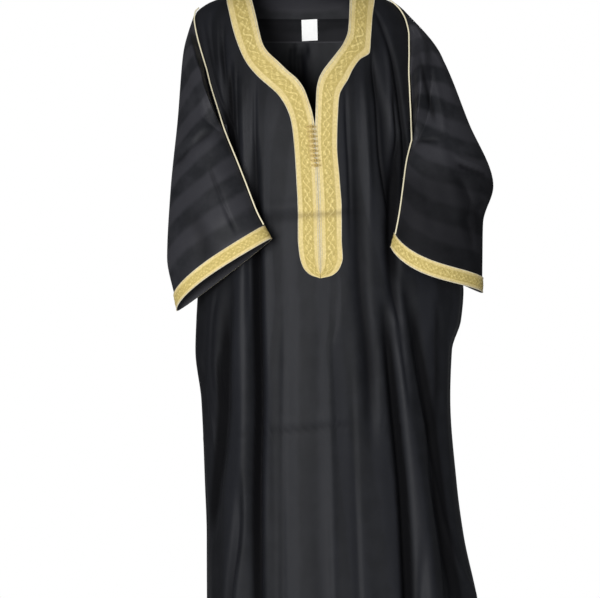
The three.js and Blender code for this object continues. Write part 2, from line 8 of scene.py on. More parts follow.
import bpy
import numpy as np
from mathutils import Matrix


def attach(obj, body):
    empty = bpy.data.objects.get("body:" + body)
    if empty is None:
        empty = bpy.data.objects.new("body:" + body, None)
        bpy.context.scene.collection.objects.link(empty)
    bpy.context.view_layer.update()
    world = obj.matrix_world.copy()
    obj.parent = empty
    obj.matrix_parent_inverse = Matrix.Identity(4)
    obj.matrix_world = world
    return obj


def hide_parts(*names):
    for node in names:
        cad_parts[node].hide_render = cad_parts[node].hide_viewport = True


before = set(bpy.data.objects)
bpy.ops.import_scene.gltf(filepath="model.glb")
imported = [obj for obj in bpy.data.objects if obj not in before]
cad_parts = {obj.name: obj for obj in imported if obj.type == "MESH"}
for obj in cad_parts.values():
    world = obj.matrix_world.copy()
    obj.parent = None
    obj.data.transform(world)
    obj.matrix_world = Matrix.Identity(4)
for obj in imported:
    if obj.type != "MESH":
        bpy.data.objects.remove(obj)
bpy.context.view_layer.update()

MM = 0.001
DEG = math.pi / 180

# ---- driving sizes, millimetres ----------------------------------------------
SOLID_CLOTH = 1.6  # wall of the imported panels
CLOTH = 0.9  # wall of the cloth here
LAID = 0.7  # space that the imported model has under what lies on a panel
SHEET = SOLID_CLOTH / 2 + LAID  # from the middle of a panel to the foot of what lies on it
SEAM = 0.3
BRAID = 0.6  # ground of the galloon, under its relief
SOLID_FACING = 1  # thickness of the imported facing
NECK_Z = 15
HEM_Z = -1430
V_TIP_Z = -254
PIPING_R = 1.55
SLIT_CLOSING = 0.45  # how far each half of the galloon is drawn towards the other below the V
LAP = 4  # how far a sleeve laps over the edge of its armhole
BRAID_W = 50  # across the galloon
BRAID_STEP = 1.35  # between the galloon's rows of points
CUFF_W = 29
NECK_HALF = 98  # half width of the neck
NECK_SPAN = 87 * DEG  # how far round the neck its back pieces reach
# lower edge of the galloon round the back: half width, height at its middle and at its ends
BACK_BRAID_HALF, BACK_BRAID_LOW, BACK_BRAID_END = 146, -34, 6
FACING_HALF, FACING_Z = 116, -76
FACING_SEAM_Z = -30
LABEL_W, LABEL_H = 32, 42
LABEL_X, LABEL_Z = 19, -29
KNOT_TOP_Z, KNOT_FOOT_Z = -264, -339
KNOT_R = 3.6
KNOT_SEAT = 1.6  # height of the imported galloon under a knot
SEAM_SIDE_Z = -720
BAND_T = 0.95  # where a cuff band starts along its sleeve
SLEEVE_CLEAR = 8  # space that a sleeve keeps to the body
LAYERS = 32  # and what its front layer keeps on top of that, halfway between its fold edges
STRIPE = 78  # repeat of the woven stripes
KNOTS = 9
SLEEVE_STEPS = 90
RING = 230  # points round a sleeve
PIPING_UP = (0.946, 0.2)  # between these the piping runs up the sleeve
PIPING_ROUND = (0.12, 0.5)  # and between these round the armhole
# shares of the painted shade: in the deepest folds, and where the cloth turns from the light
DARKEST = 0.96
CHEST_SHADE, CHEST_FOOT_Z = 0.22, -270
SIDE_SHADE, SIDE_X, SIDE_TOP_Z = 0.42, -118, -500  # left side of the front
LOW_SHADE, LOW_TOP_Z = 0.62, -300  # lower half of the right sleeve


def table(columns, *rows):
    """Rows of numbers as one array for each named column."""
    return dict(zip(columns.split(), np.array(rows, dtype=float).T))


def fold(half_left, half_right, *rows):
    """A fold: its half widths, then height, place and depth down it."""
    return half_left, half_right, table("z x depth", *rows)


BODY = table(
    "z left right front back",
    (15, -98, 99, 8, 52), (8, -138, 144, 26, 56), (0, -166, 172, 36, 60), (-10, -188, 190, 46, 64),
    (-28, -208, 210, 58, 69), (-60, -213, 229, 75, 77), (-120, -214, 237, 96, 87),
    (-200, -210, 241, 111, 94), (-300, -205, 250, 117, 98), (-420, -202, 272, 120, 101),
    (-580, -204, 326, 123, 105), (-640, -207, 321, 124, 107), (-700, -209, 303, 125, 110),
    (-800, -197, 300, 127, 115), (-964, -189, 312, 131, 122), (-1074, -185, 327, 135, 127),
    (-1196, -185, 354, 141, 133), (-1430, -192, 388, 150, 142),
)
NECKLINE = table(
    "z left right",
    (15, -98, 99), (-5, -95, 98), (-47, -85, 96), (-78, -78, 93), (-99, -72, 84), (-111, -66, 76),
    (-135, -42, 58), (-154, -23, 44), (-170, -5, 36), (-189, 8, 31.5), (-213, 17, 30.5), (-254, 27, 29.5),
)
SLIT = table("z x", (-254, 28.3), (-300, 29.5), (-359, 33.5), (-433, 36.5), (-483, 38), (-558, 39.5))
ARMHOLE = {
    "left": table(
        "z x back",
        (-28, -208, 90), (-45, -209, 90.4), (-70, -205, 88.4), (-104, -198, 84.5), (-148, -189, 79.3),
        (-195, -176.5, 70.3), (-235, -164, 57.2), (-252, -157, 48),
    ),
    "right": table(
        "z x back",
        (-10, 190, 90), (-36, 207, 89.5), (-67, 216, 90.8), (-132, 219, 90.1), (-190, 220, 87.6),
        (-235, 222, 79.2), (-272, 223, 63.4),
    ),
}
SLEEVE = {
    "left": table(
        "t in_x in_y in_z out_x out_y out_z front back sag",
        (0, -157, -88, -252, -208, 0, -28, 36, 38, 0), (0.2, -150, -92, -264, -231, -16, -112, 34, 26, 0),
        (0.45, -134, -106, -305, -241, -42, -244, 34, 18, 2),
        (0.7, -106, -129, -375, -254, -70, -395, 38, 16, 6),
        (0.87, -82, -142, -435, -259, -88, -520, 42, 19, 11),
        (0.95, -70, -146.5, -457.5, -244, -96.5, -592.5, 43, 21, 12),
        (1, -56, -150, -483, -238, -100, -621, 44, 22, 13),
    ),
    "right": table(
        "t in_x in_y in_z out_x out_y out_z front back sag",
        (0, 223, -58, -272, 190, 0, -10, 36, 38, 0), (0.2, 219.5, -64, -284, 277, -14, -108, 36, 29, 0),
        (0.45, 210.5, -81, -320, 334, -34, -250, 38, 21, -6),
        (0.66, 201.5, -105, -375, 380, -56, -374, 44, 19, -13),
        (0.8, 194.5, -120, -420, 358, -74, -450, 46, 19, -20),
        (0.95, 184.5, -131, -470, 355, -88, -557, 47.5, 22, -24.5),
        (1, 177, -134, -498, 354, -92, -586, 48, 22, -26),
    ),
}
GALLOON = {
    "left": table(
        "x z outer_x outer_z",
        (-98, 15, -148, 5), (-97, 3, -145, -10), (-93, -14, -140, -32), (-89, -30, -134, -58),
        (-85, -47, -126, -86), (-80, -70, -118, -108), (-73, -97, -110, -126), (-64, -113, -99, -144),
        (-42, -135, -80, -166), (-23, -154, -60, -184), (-5, -170, -44, -199), (8, -189, -28, -223),
        (17, -213, -19, -246), (25, -240, -15, -266), (28, -262, -12.5, -287), (29, -300, -10, -316),
        (33, -359, -7, -367), (36, -433, -4, -433), (37.5, -478, -4, -478), (38, -505, -1, -512),
        (38.4, -525, 6, -536), (38.7, -540, 20, -551), (38.9, -548, 38.9, -558),
    ),
    "right": table(
        "x z outer_x outer_z",
        (99, 15, 151, 5), (98.5, 3, 147, -14), (98, -12, 143, -38), (97, -32, 141, -60),
        (96, -50, 139, -84), (94, -72, 136, -115), (85, -97, 117, -130), (70, -119, 103, -150),
        (57, -136, 92, -173), (44, -154, 83, -187), (36, -171, 77, -201), (32, -191, 75, -216),
        (30.8, -215, 74, -234), (29.6, -262, 72.5, -268), (30.2, -300, 72, -300), (34.2, -359, 77, -367),
        (37.2, -433, 81, -433), (38.7, -483, 81, -483), (39.2, -508, 83, -518), (39.6, -525, 76, -540),
        (39.8, -540, 61, -553), (40, -548, 40, -558),
    ),
}

# Folds of the front and back; a ridge has a negative depth.
FRONT_FOLDS = [
    fold(13, 8, (-270, -87, 0), (-405, -86, 12), (-580, -83, 21), (-795, -79, 23), (-990, -82, 23),
         (-1181, -80, 19), (-1430, -76, 16)),
    fold(21, 21, (-300, -112, 0), (-560, -112, -9), (-799, -108, -12), (-1002, -116, -12),
         (-1181, -128, -14), (-1430, -134, -14)),
    fold(20, 9, (-540, -136, 0), (-700, -142, 15), (-820, -146, 18), (-1002, -166, 14), (-1110, -180, 0)),
    fold(10, 7, (-930, -114, 0), (-1043, -118, 14), (-1181, -135, 20), (-1430, -156, 18)),
    fold(13, 13, (-200, 104, 0), (-405, 112, 7), (-565, 118, 9), (-725, 134, 10), (-900, 141, 0)),
    fold(9, 12, (-590, 163, 0), (-694, 172, 15), (-799, 183, 20), (-1002, 202, 22), (-1181, 209, 22),
         (-1430, 214, 18)),
    fold(20, 20, (-600, 190, 0), (-799, 212, -9), (-1002, 238, -13), (-1181, 254, -15),
         (-1430, 268, -15)),
    fold(9, 16, (-540, 200, 0), (-680, 226, 14), (-836, 252, 19), (-1048, 281, 20), (-1181, 304, 20),
         (-1430, 326, 18)),
    fold(11, 11, (-70, -156, 0), (-120, -152, 5), (-200, -137, 7), (-307, -131, 7), (-420, -132, 0)),
    fold(11, 11, (-115, 137, 0), (-167, 148, 6), (-245, 163, 8), (-366, 171, 7), (-430, 173, 0)),
    # finer ones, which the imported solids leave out: pleats that run down from the shoulders
    fold(4, 6, (-30, -196, 0), (-90, -186, 5), (-170, -169, 6), (-228, -151, 7), (-280, -134, 6),
         (-350, -122, 0)),
    fold(4, 4, (-20, -163, 0), (-60, -162, -3.5), (-110, -160, -4), (-165, -152, -3), (-230, -142, 0)),
    fold(4, 4, (-20, -174, 0), (-60, -176, 4), (-110, -172, 4), (-160, -164, 0)),
    fold(5, 4, (-40, -150, 0), (-110, -152, 5), (-180, -149, 6), (-228, -145, 5), (-300, -130, 0)),
    fold(6, 5, (-125, -134, 0), (-165, -136, 6), (-260, -134, 7), (-340, -126, 5), (-430, -120, 0)),
    fold(3, 3, (-135, -122, 0), (-180, -124, 3), (-280, -122, 3.5), (-360, -118, 0)),
    fold(6, 6, (-150, -110, 0), (-190, -112, -3), (-260, -111, -3), (-350, -108, 0)),
    fold(4, 4, (-165, -86, 0), (-220, -88, 3), (-290, -88, 4), (-380, -88, 0)),
    fold(4, 3, (-330, -104, 0), (-420, -103, 4), (-560, -100, 4), (-660, -98, 0)),
    fold(6, 5, (-20, 144, 0), (-45, 157, 6), (-151, 188, 9), (-244, 201, 10), (-310, 208, 10),
         (-400, 204, 8), (-470, 196, 0)),
    fold(4, 4, (-104, 142, 0), (-140, 143, 4), (-211, 150, 5.5), (-311, 155, 5.5), (-394, 168, 5),
         (-450, 178, 0)),
    fold(6, 6, (-70, 164, 0), (-130, 173, -4), (-220, 179, -4), (-290, 184, 0)),
    fold(4, 4, (-190, 180, 0), (-228, 185, 5), (-294, 191, 6), (-340, 182, 0)),
    fold(7, 7, (-150, 122, 0), (-220, 128, -3.5), (-330, 134, -4), (-470, 138, 0)),
    fold(3, 5, (-180, 88, 0), (-260, 90, 4), (-360, 95, 4), (-520, 98, 0)),
    fold(10, 13, (-270, 196, 0), (-330, 188, 10), (-404, 182, 17), (-470, 178, 17), (-560, 180, 11),
         (-640, 186, 0)),
    # and long shallow ones down the skirt
    fold(7, 7, (-480, -24, 0), (-640, -30, 1.6), (-1000, -34, 2.2), (-1430, -30, 3)),
    fold(8, 8, (-560, 52, 0), (-800, 58, -1.8), (-1100, 64, -2.2), (-1430, 72, -3)),
    fold(9, 5, (-700, 100, 0), (-950, 108, 2.6), (-1200, 116, 2.6), (-1430, 122, 4)),
    fold(14, 14, (-600, -54, 0), (-800, -50, -2.4), (-1200, -46, -2.6), (-1430, -44, -3)),
    fold(6, 6, (-570, -178, 0), (-660, -186, 6), (-760, -190, 7), (-840, -180, 0)),
    fold(5, 5, (-570, -160, 0), (-640, -174, 5), (-730, -178, 5), (-800, -170, 0)),
    fold(4, 4, (-700, -158, 0), (-735, -162, 5), (-790, -158, 5), (-820, -152, 0)),
    fold(7, 7, (-590, 268, 0), (-680, 274, 6), (-800, 272, 5), (-880, 268, 0)),
    fold(5, 8, (-900, 246, 0), (-1000, 264, 7), (-1100, 280, 9), (-1200, 288, 8), (-1430, 300, 8)),
    fold(9, 9, (-1040, 240, 0), (-1181, 236, 7), (-1430, 240, 10)),
    fold(4, 7, (-560, 178, 0), (-640, 192, 6), (-760, 206, 4), (-830, 214, 0)),
]
BACK_FOLDS = [
    fold(15, 15, (-110, 2, 0), (-260, 4, 9), (-520, 14, 12), (-900, 30, 16), (-1430, 52, 18)),
    fold(12, 18, (-240, -92, 0), (-520, -96, 10), (-900, -98, 17), (-1430, -104, 19)),
    fold(24, 24, (-300, -44, 0), (-900, -36, -11), (-1430, -26, -15)),
    fold(18, 12, (-260, 96, 0), (-560, 122, 11), (-900, 146, 17), (-1430, 186, 20)),
    fold(23, 23, (-380, 62, 0), (-900, 90, -12), (-1430, 118, -15)),
    fold(17, 17, (-600, 196, 0), (-900, 226, 13), (-1430, 284, 18)),
    # finer ones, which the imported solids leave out
    fold(7, 7, (-78, -16, 0), (-110, -15, 4), (-170, -14, 4), (-300, -12, 0)),
    fold(7, 7, (-78, 2, 0), (-110, 2, 5), (-170, 2, 5), (-300, 4, 0)),
    fold(6, 10, (-90, -150, 0), (-170, -138, 5), (-320, -132, 4), (-420, -130, 0)),
    fold(10, 6, (-90, 150, 0), (-170, 144, 5), (-320, 142, 5), (-430, 142, 0)),
    fold(5, 5, (-60, -176, 0), (-130, -168, 4), (-220, -164, 4), (-300, -160, 0)),
    fold(5, 5, (-50, 178, 0), (-120, 176, 4), (-230, 178, 4), (-320, 180, 0)),
    fold(8, 8, (-480, -150, 0), (-700, -152, 7), (-1000, -152, 9), (-1430, -158, 12)),
    fold(7, 7, (-700, 60, 0), (-1000, 66, 4), (-1430, 78, 6)),
    fold(6, 11, (-420, -128, 0), (-620, -124, 6), (-900, -126, 8), (-1430, -130, 8)),
    fold(12, 7, (-500, 160, 0), (-700, 176, 7), (-1000, 200, 9), (-1430, 232, 12)),
]

# Pressed creases and pulls: piece, height (a groove is negative), half width, and the line's (x, z).
CREASES = [
    ("front", 1.7, 6, [(-140, -853), (-86, -848), (-20, -843), (60, -835), (118, -831)]),
    ("front", -1.6, 6, [(-140, -862), (-86, -856), (-20, -851), (60, -843), (118, -839)]),
    ("front", 1.4, 4, [(138, -834), (176, -838), (240, -842), (288, -846)]),
    ("front", -2.0, 8, [(-112, -444), (-50, -438), (38, -434), (84, -430), (132, -426)]),
    ("front", 1.6, 10, [(-112, -424), (-50, -418), (38, -413), (84, -409), (132, -405)]),
    ("front", 2.0, 5, [(-146, -868), (-182, -880), (-198, -884)]),
    ("front", -1.5, 5, [(186, -836), (200, -858)]),
    ("front", 2.0, 3, [(-200, -700), (-197, -727), (-186, -777), (-175, -842), (-172, -875), (-168, -933),
                       (-162, -1045), (-168, -1130)]),
    ("front", 3.0, 4, [(232, -790), (243, -843), (266, -928), (286, -1029), (314, -1122), (345, -1180),
                       (366, -1300)]),
    ("front", 1.2, 3, [(244, -735), (290, -742)]),
    ("front", -1.2, 4, [(248, -762), (286, -767)]),
    ("front", 1.2, 3, [(254, -790), (292, -796)]),
    ("back", -5, 4.5, [(-22, -80), (-14, -92), (-2, -101), (12, -91), (19, -82)]),
    ("back", 1.6, 5, [(-150, -424), (-60, -418), (60, -415), (170, -420)]),
    ("back", 1.5, 5, [(-160, -846), (-40, -838), (80, -836), (210, -842)]),
    ("back", -1.3, 5, [(-160, -856), (-40, -848), (80, -846), (210, -852)]),
    ("sleeve_left", -3.4, 6, [(-246, -340), (-214, -304), (-160, -262)]),
    ("sleeve_left", 2.6, 10, [(-250, -322), (-218, -286), (-168, -246)]),
    ("sleeve_left", -2.6, 4, [(-180, -330), (-150, -410), (-118, -482)]),
    ("sleeve_left", 2.2, 14, [(-236, -180), (-214, -260), (-206, -340)]),
    ("sleeve_left", -2.4, 16, [(-218, -420), (-190, -470), (-176, -530)]),
    ("sleeve_left", 2.4, 18, [(-150, -330), (-140, -400), (-150, -470)]),
    ("sleeve_right", 4.2, 6, [(296, -318), (330, -330), (372, -344)]),
    ("sleeve_right", -5.0, 8, [(300, -334), (332, -346), (376, -360)]),
    ("sleeve_right", -5.0, 9, [(306, -345), (330, -411), (322, -444), (342, -534)]),
    ("sleeve_right", -5.0, 12, [(366, -398), (344, -424), (352, -500)]),
    ("sleeve_right", -2.6, 5, [(222, -288), (250, -289), (276, -291)]),
    ("sleeve_right", -3.6, 5, [(234, -110), (243, -157), (257, -214), (266, -260)]),
    ("sleeve_right", 3.2, 7, [(250, -100), (263, -148), (277, -226), (286, -290)]),
    ("sleeve_right", 3.6, 15, [(272, -270), (286, -330), (302, -395), (318, -490)]),
    ("sleeve_right", -2.8, 14, [(236, -330), (244, -400), (262, -480)]),
]
SIGN = {"left": -1, "right": 1}


# ---- curves through the tables -----------------------------------------------
def smooth(t):
    t = np.clip(t, 0, 1)
    return t * t * (3 - 2 * t)


def bell(away, half):
    return np.exp(-((away / half) ** 2))


def mix(a, b, t):
    return a + (b - a) * t


def at(rows, key, column, where):
    """Value of a column at a key, on a curve through the rows that adds no bumps of its own."""
    order = np.argsort(rows[key])
    keys, values = rows[key][order], rows[column][order]
    gaps = np.diff(keys)
    slopes = np.diff(values) / gaps
    before, after = slopes[:-1], slopes[1:]
    total = np.where(before * after > 0, before + after, 1)
    inner = np.where(before * after > 0, 2 * before * after / total, 0)
    tangents = np.concatenate([slopes[:1], inner, slopes[-1:]])
    where = np.clip(np.asarray(where, dtype=float), keys[0], keys[-1])
    i = np.clip(np.searchsorted(keys, where, side="right") - 1, 0, len(gaps) - 1)
    t = (where - keys[i]) / gaps[i]
    hermite = (
        (2 * t**3 - 3 * t**2 + 1) * values[i]
        + (t**3 - 2 * t**2 + t) * gaps[i] * tangents[i]
        + (3 * t**2 - 2 * t**3) * values[i + 1]
        + (t**3 - t**2) * gaps[i] * tangents[i + 1]
    )
    return hermite


# ---- the body's surface ------------------------------------------------------
def section(z):
    """Middle, half width and depths to the front and back of the body at a height."""
    left, right = at(BODY, "z", "left", z), at(BODY, "z", "right", z)
    return (left + right) / 2, (right - left) / 2, at(BODY, "z", "front", z), at(BODY, "z", "back", z)


def fold_depth(x, z, front):
    """How deep the folds of the front or back are at a place, the ridges taken off."""
    total = np.zeros(np.shape(x))
    for shown, folds in ((front, FRONT_FOLDS), (~front, BACK_FOLDS)):
        for half_left, half_right, rows in folds:
            away = x - at(rows, "z", "x", z)
            away = away / np.where(away < 0, half_left, half_right)
            inside = z > rows["z"].min() - 1
            total = total + at(rows, "z", "depth", z) * np.exp(-away * away) * inside * shown
    return total


def crease_height(piece, x, z):
    """Height of the creases of one piece, each fading out at both ends."""
    total = np.zeros(np.shape(x))
    for owner, height, half, points in CREASES:
        if owner != piece:
            continue
        best = np.full(np.shape(x), 1e9)
        place = np.zeros(np.shape(x))
        spans = len(points) - 1
        for i, ((ax, az), (bx, bz)) in enumerate(zip(points, points[1:])):
            length = math.hypot(bx - ax, bz - az)
            share = np.clip(((x - ax) * (bx - ax) + (z - az) * (bz - az)) / length**2, 0, 1)
            far = np.hypot(x - mix(ax, bx, share), z - mix(az, bz, share))
            place = np.where(far < best, (i + share) / spans, place)
            best = np.minimum(best, far)
        fade = smooth(np.minimum(place, 1 - place) / 0.22)
        total = total + height * fade * bell(best, half)
    return total


def painted_shade_share(x, z, front):
    """Share of painted shade at a place of the body, in a fold or crease or where it turns from the light:
    0 to nearly 1.
    """
    creases = np.where(front, crease_height("front", x, z), crease_height("back", x, z))
    sunk = np.clip(fold_depth(x, z, front) / 12, 0, 1) ** 1.3
    chest = CHEST_SHADE * smooth((z - CHEST_FOOT_Z) / 90)
    left_side = SIDE_SHADE * smooth((SIDE_X - x) / 50) * smooth((SIDE_TOP_Z - z) / 90)
    turned = np.where(front, np.maximum(chest, left_side), 0)
    return np.clip(np.maximum(DARKEST * sunk, turned) + np.clip(-creases / 6, 0, 0.35), 0, DARKEST)


def ripple(angle, z, front):
    """Slight unevenness of hanging cloth: long soft waves that grow down the skirt."""
    grow = smooth((-300 - z) / 500)
    wave = np.sin(angle * 19 + z / 210) + 0.7 * np.sin(angle * 31 - z / 170 + 1.7)
    return grow * np.where(front, 0.7, 1.1) * wave


def body_base(angle, z):
    """The body's cloth: an oval at each height, moved in by folds and out by raised creases."""
    middle, half, front, back = section(z)
    is_front = np.cos(angle) > 0
    reach = np.where(is_front, front, back)
    x = middle + half * np.sin(angle)
    depth = fold_depth(x, z, is_front) * np.abs(np.cos(angle)) ** 0.5
    creases = np.where(is_front, crease_height("front", x, z), crease_height("back", x, z))
    depth = depth - creases - ripple(angle, z, is_front)
    out = np.stack([np.sin(angle) / half, -np.cos(angle) / reach, np.zeros(np.shape(x))], -1)
    out /= np.linalg.norm(out, axis=-1, keepdims=True)
    point = np.stack([x, -reach * np.cos(angle), z + 0 * x], -1)
    return point - out * depth[..., None]


def unit(vectors):
    return vectors / np.maximum(np.linalg.norm(vectors, axis=-1, keepdims=True), 1e-9)


def normal_of(surface, u, v, du, dv):
    along = surface(u + du, v) - surface(u - du, v)
    down = surface(u, v - dv) - surface(u, v + dv)
    return unit(np.cross(down, along))


def body(angle, z, out=0.0):
    """A point of the body's cloth, moved out along its normal."""
    angle, z = np.broadcast_arrays(np.asarray(angle, dtype=float), np.asarray(z, dtype=float))
    stop = np.minimum(z, NECK_Z - 0.6)
    return body_base(angle, z) + normal_of(body_base, angle, stop, 0.01, 0.5) * np.asarray(out)[..., None]


def angle_at(x, z):
    middle, half, _, _ = section(z)
    return np.arcsin(np.clip((x - middle) / half, -1, 1))


# ---- armholes and side seams -------------------------------------------------
def front_edge(side, z):
    return np.abs(angle_at(at(ARMHOLE[side], "z", "x", z), z))


def edge_angle(side, z, on_back):
    """Where the front or back ends: at the armhole, and below it at the side seam."""
    top, under = ARMHOLE[side]["z"][0], ARMHOLE[side]["z"][-1]
    hole = at(ARMHOLE[side], "z", "back", z) * DEG if on_back else front_edge(side, z)
    seam = mix(front_edge(side, under), 90 * DEG, smooth((z - under) / (SEAM_SIDE_Z - under)))
    return np.where(z >= top, 90 * DEG, np.where(z > under, hole, seam))


def edge_rows(side, steps):
    """Heights of a panel's rows along one edge, closer at the ends of the armhole."""
    top, under = ARMHOLE[side]["z"][0], ARMHOLE[side]["z"][-1]
    shoulder, armhole, skirt = steps
    upper = mix(NECK_Z, top, np.arange(shoulder) / shoulder)
    middle = mix(top, under, (1 - np.cos(np.pi * np.arange(armhole) / armhole)) / 2)
    lower = mix(under, HEM_Z, (np.arange(skirt + 1) / skirt) ** 1.1)
    return np.concatenate([upper, middle, lower])


def column_angle(angle, z, on_back):
    """Spreads the outer columns so that the last one follows the panel's edge."""
    knee = (60 if on_back else 30) * DEG
    size = np.abs(angle)
    edges = np.where(angle < 0, edge_angle("left", z, on_back), edge_angle("right", z, on_back))
    edges = np.pi - edges if on_back else edges
    turned = knee + (size - knee) * (edges - knee) / (90 * DEG - knee)
    return np.where(size <= knee, angle, np.sign(angle) * turned)


def to_shoulder(x, z, share):
    """Heights raised, by a share from 0 to 1, to the shoulder line above each place."""
    heights = np.linspace(NECK_Z, -30, 240)
    middle, half = section(heights)[:2]
    line = np.where(x < 0, np.interp(-x, half - middle, heights), np.interp(x, half + middle, heights))
    return z + np.maximum(0, line - 0.1 - z) * share


def neckline_height(angle):
    """Height at which each column of the front meets the neckline."""
    slit = angle_at(at(SLIT, "z", "x", V_TIP_Z), V_TIP_Z)
    on_left = angle < slit
    high, low = np.full(angle.shape, float(NECK_Z)), np.full(angle.shape, float(V_TIP_Z))
    for _ in range(40):
        z = (high + low) / 2
        left, right = (angle_at(at(NECKLINE, "z", column, z), z) for column in ("left", "right"))
        edge = np.where(on_left, left, right)
        above = np.where(on_left, edge < angle, edge > angle)
        high, low = np.where(above, z, high), np.where(above, low, z)
    return (high + low) / 2


def panel_places(columns, steps, on_back):
    """Angle and height of every point of a panel, a row for each level and a column for each warp line."""
    u = np.linspace(-1, 1, columns + 1)
    angle = 90 * DEG * (0.75 * u + 0.25 * u**3)
    top = np.full(angle.shape, float(NECK_Z)) if on_back else neckline_height(angle)
    rows = mix(edge_rows("left", steps)[:, None], edge_rows("right", steps)[:, None], (u + 1)[None, :] / 2)
    z = mix(top[None, :], HEM_Z, (rows - NECK_Z) / (HEM_Z - NECK_Z))
    turned = column_angle(np.broadcast_to(angle, z.shape), z, on_back)
    return (np.pi - turned if on_back else turned), z


# ---- sleeves -----------------------------------------------------------------
def armhole_point(side, turn, margin, out, downwards=True):
    """A point on the body a margin outside the armhole; turn runs once round from the underarm."""
    top, under = ARMHOLE[side]["z"][0], ARMHOLE[side]["z"][-1]
    along = np.where(turn < 0.5, turn * 2, 2 - turn * 2)
    z = mix(under, top, (1 - np.cos(np.pi * along)) / 2)
    back = at(ARMHOLE[side], "z", "back", z) * DEG
    angle = np.where(turn < 0.5, front_edge(side, z), back)
    centre_z = (top + under) / 2
    centre = mix(front_edge(side, centre_z), at(ARMHOLE[side], "z", "back", centre_z) * DEG, 0.45)
    radius = section(z)[2]
    dx, dz = (angle - centre) * radius, z - centre_z
    lift = dz if downwards else np.maximum(0, dz)
    share = margin / np.hypot(dx, lift)
    return body(SIGN[side] * (centre + dx * (1 + share) / radius), z + lift * share, out)


def tube_point(side, turn, t):
    """The flattened tube of a sleeve, from the armhole, t = 0, to the cuff, t = 1."""
    def get(column):
        return at(SLEEVE[side], "t", column, t)

    angle = turn * 2 * np.pi
    inner = np.stack([get("in_x"), get("in_y"), get("in_z")], -1)
    outer = np.stack([get("out_x"), get("out_y"), get("out_z")], -1)
    point = mix(inner, outer, ((1 - np.cos(angle)) / 2)[..., None])
    front = np.array([SIGN[side] * 0.2, -0.98, 0])
    depth = np.sin(angle) * np.where(np.sin(angle) > 0, get("front"), get("back"))
    point = point + front * depth[..., None]
    sag = get("sag")
    skew = np.where(sag < 0, 1 + np.cos(angle), 1 - np.cos(angle))
    point[..., 2] += sag * np.maximum(0, np.sin(angle)) * skew / 1.3
    return point


def clear_of_body(point, clear):
    """Moves points forwards, out of the body, until they have a clear space to it."""
    middle, half, front, _ = section(point[..., 2])
    side = (point[..., 0] - middle) / (half + clear)
    limit = -(front + clear) * np.sqrt(np.maximum(0, 1 - side * side))
    moved = point.copy()
    moved[..., 1] = mix(point[..., 1], np.minimum(point[..., 1], limit), smooth((1 - np.abs(side)) / 0.12))
    return moved


def sleeve_point(side, turn, t):
    """The sleeve's cloth: the tube, started at the armhole and kept clear of the body, with creases."""
    turn, t = np.broadcast_arrays(np.mod(turn, 1.0), np.asarray(t, dtype=float))
    start = armhole_point(side, turn, LAP, SOLID_CLOTH + 2 * LAID)
    offset = (start - tube_point(side, turn, 0 * t)) * (1 - smooth(t / 0.5))[..., None]
    facing = np.sin(turn * 2 * np.pi)
    layer = LAYERS * np.maximum(0, facing) * smooth(t / 0.1)
    moved = clear_of_body(tube_point(side, turn, t) + offset, np.minimum(SLEEVE_CLEAR, 3 + 70 * t) + layer)
    point = np.where((t <= 0)[..., None], start, moved)
    front = smooth(facing / 0.3)
    height = crease_height(f"sleeve_{side}", point[..., 0], point[..., 2]) * front * smooth(t / 0.15)
    wave = 1.1 * np.sin(turn * 22 + t * 5) * smooth(t / 0.3) * smooth((1 - t) / 0.12)
    point[..., 1] -= height + wave * np.sign(facing) * smooth(np.abs(facing) / 0.4)
    return point


def sleeve_out(side, turn, t, out):
    inside = np.clip(t, 0.012, 0.988)
    normal = normal_of(lambda u, v: sleeve_point(side, u, v), turn, inside, 0.004, -0.01) * SIGN[side]
    return sleeve_point(side, turn, t) + normal * np.asarray(out)[..., None]


# ---- meshes ------------------------------------------------------------------
def deselect():
    for other in bpy.context.selected_objects:
        other.select_set(False)


def select(obj):
    deselect()
    bpy.context.view_layer.objects.active = obj
    obj.select_set(True)


def new_object(name, points, faces, uv=None, attributes=None):
    """A mesh from points in millimetres; uv and attributes hold a value for each point."""
    mesh = bpy.data.meshes.new(name)
    mesh.from_pydata((np.asarray(points) * MM).tolist(), [], faces)
    mesh.polygons.foreach_set("use_smooth", [True] * len(mesh.polygons))
    corner = np.zeros(len(mesh.loops), dtype=np.int32)
    mesh.loops.foreach_get("vertex_index", corner)
    if uv is not None:
        layer = mesh.uv_layers.new(name="UVMap")
        layer.data.foreach_set("uv", (np.asarray(uv) * MM)[corner].ravel())
    for label, values in (attributes or {}).items():
        layer = mesh.attributes.new(label, "FLOAT", "POINT")
        layer.data.foreach_set("value", np.asarray(values, dtype=float).ravel())
    mesh.validate()
    obj = bpy.data.objects.new(name, mesh)
    bpy.context.collection.objects.link(obj)
    return obj


def edit(operation, **settings):
    """Runs a mesh operator on all of the active object."""
    bpy.ops.object.mode_set(mode="EDIT")
    bpy.ops.mesh.select_all(action="SELECT")
    operation(**settings)
    bpy.ops.object.mode_set(mode="OBJECT")


def closed(grid):
    """A ring's grid with its first column again at the end."""
    return np.concatenate([grid, grid[:, :1]], 1)


def sharpen(obj, angle):
    select(obj)
    bpy.ops.object.shade_smooth_by_angle(angle=angle * DEG)
    obj.select_set(False)


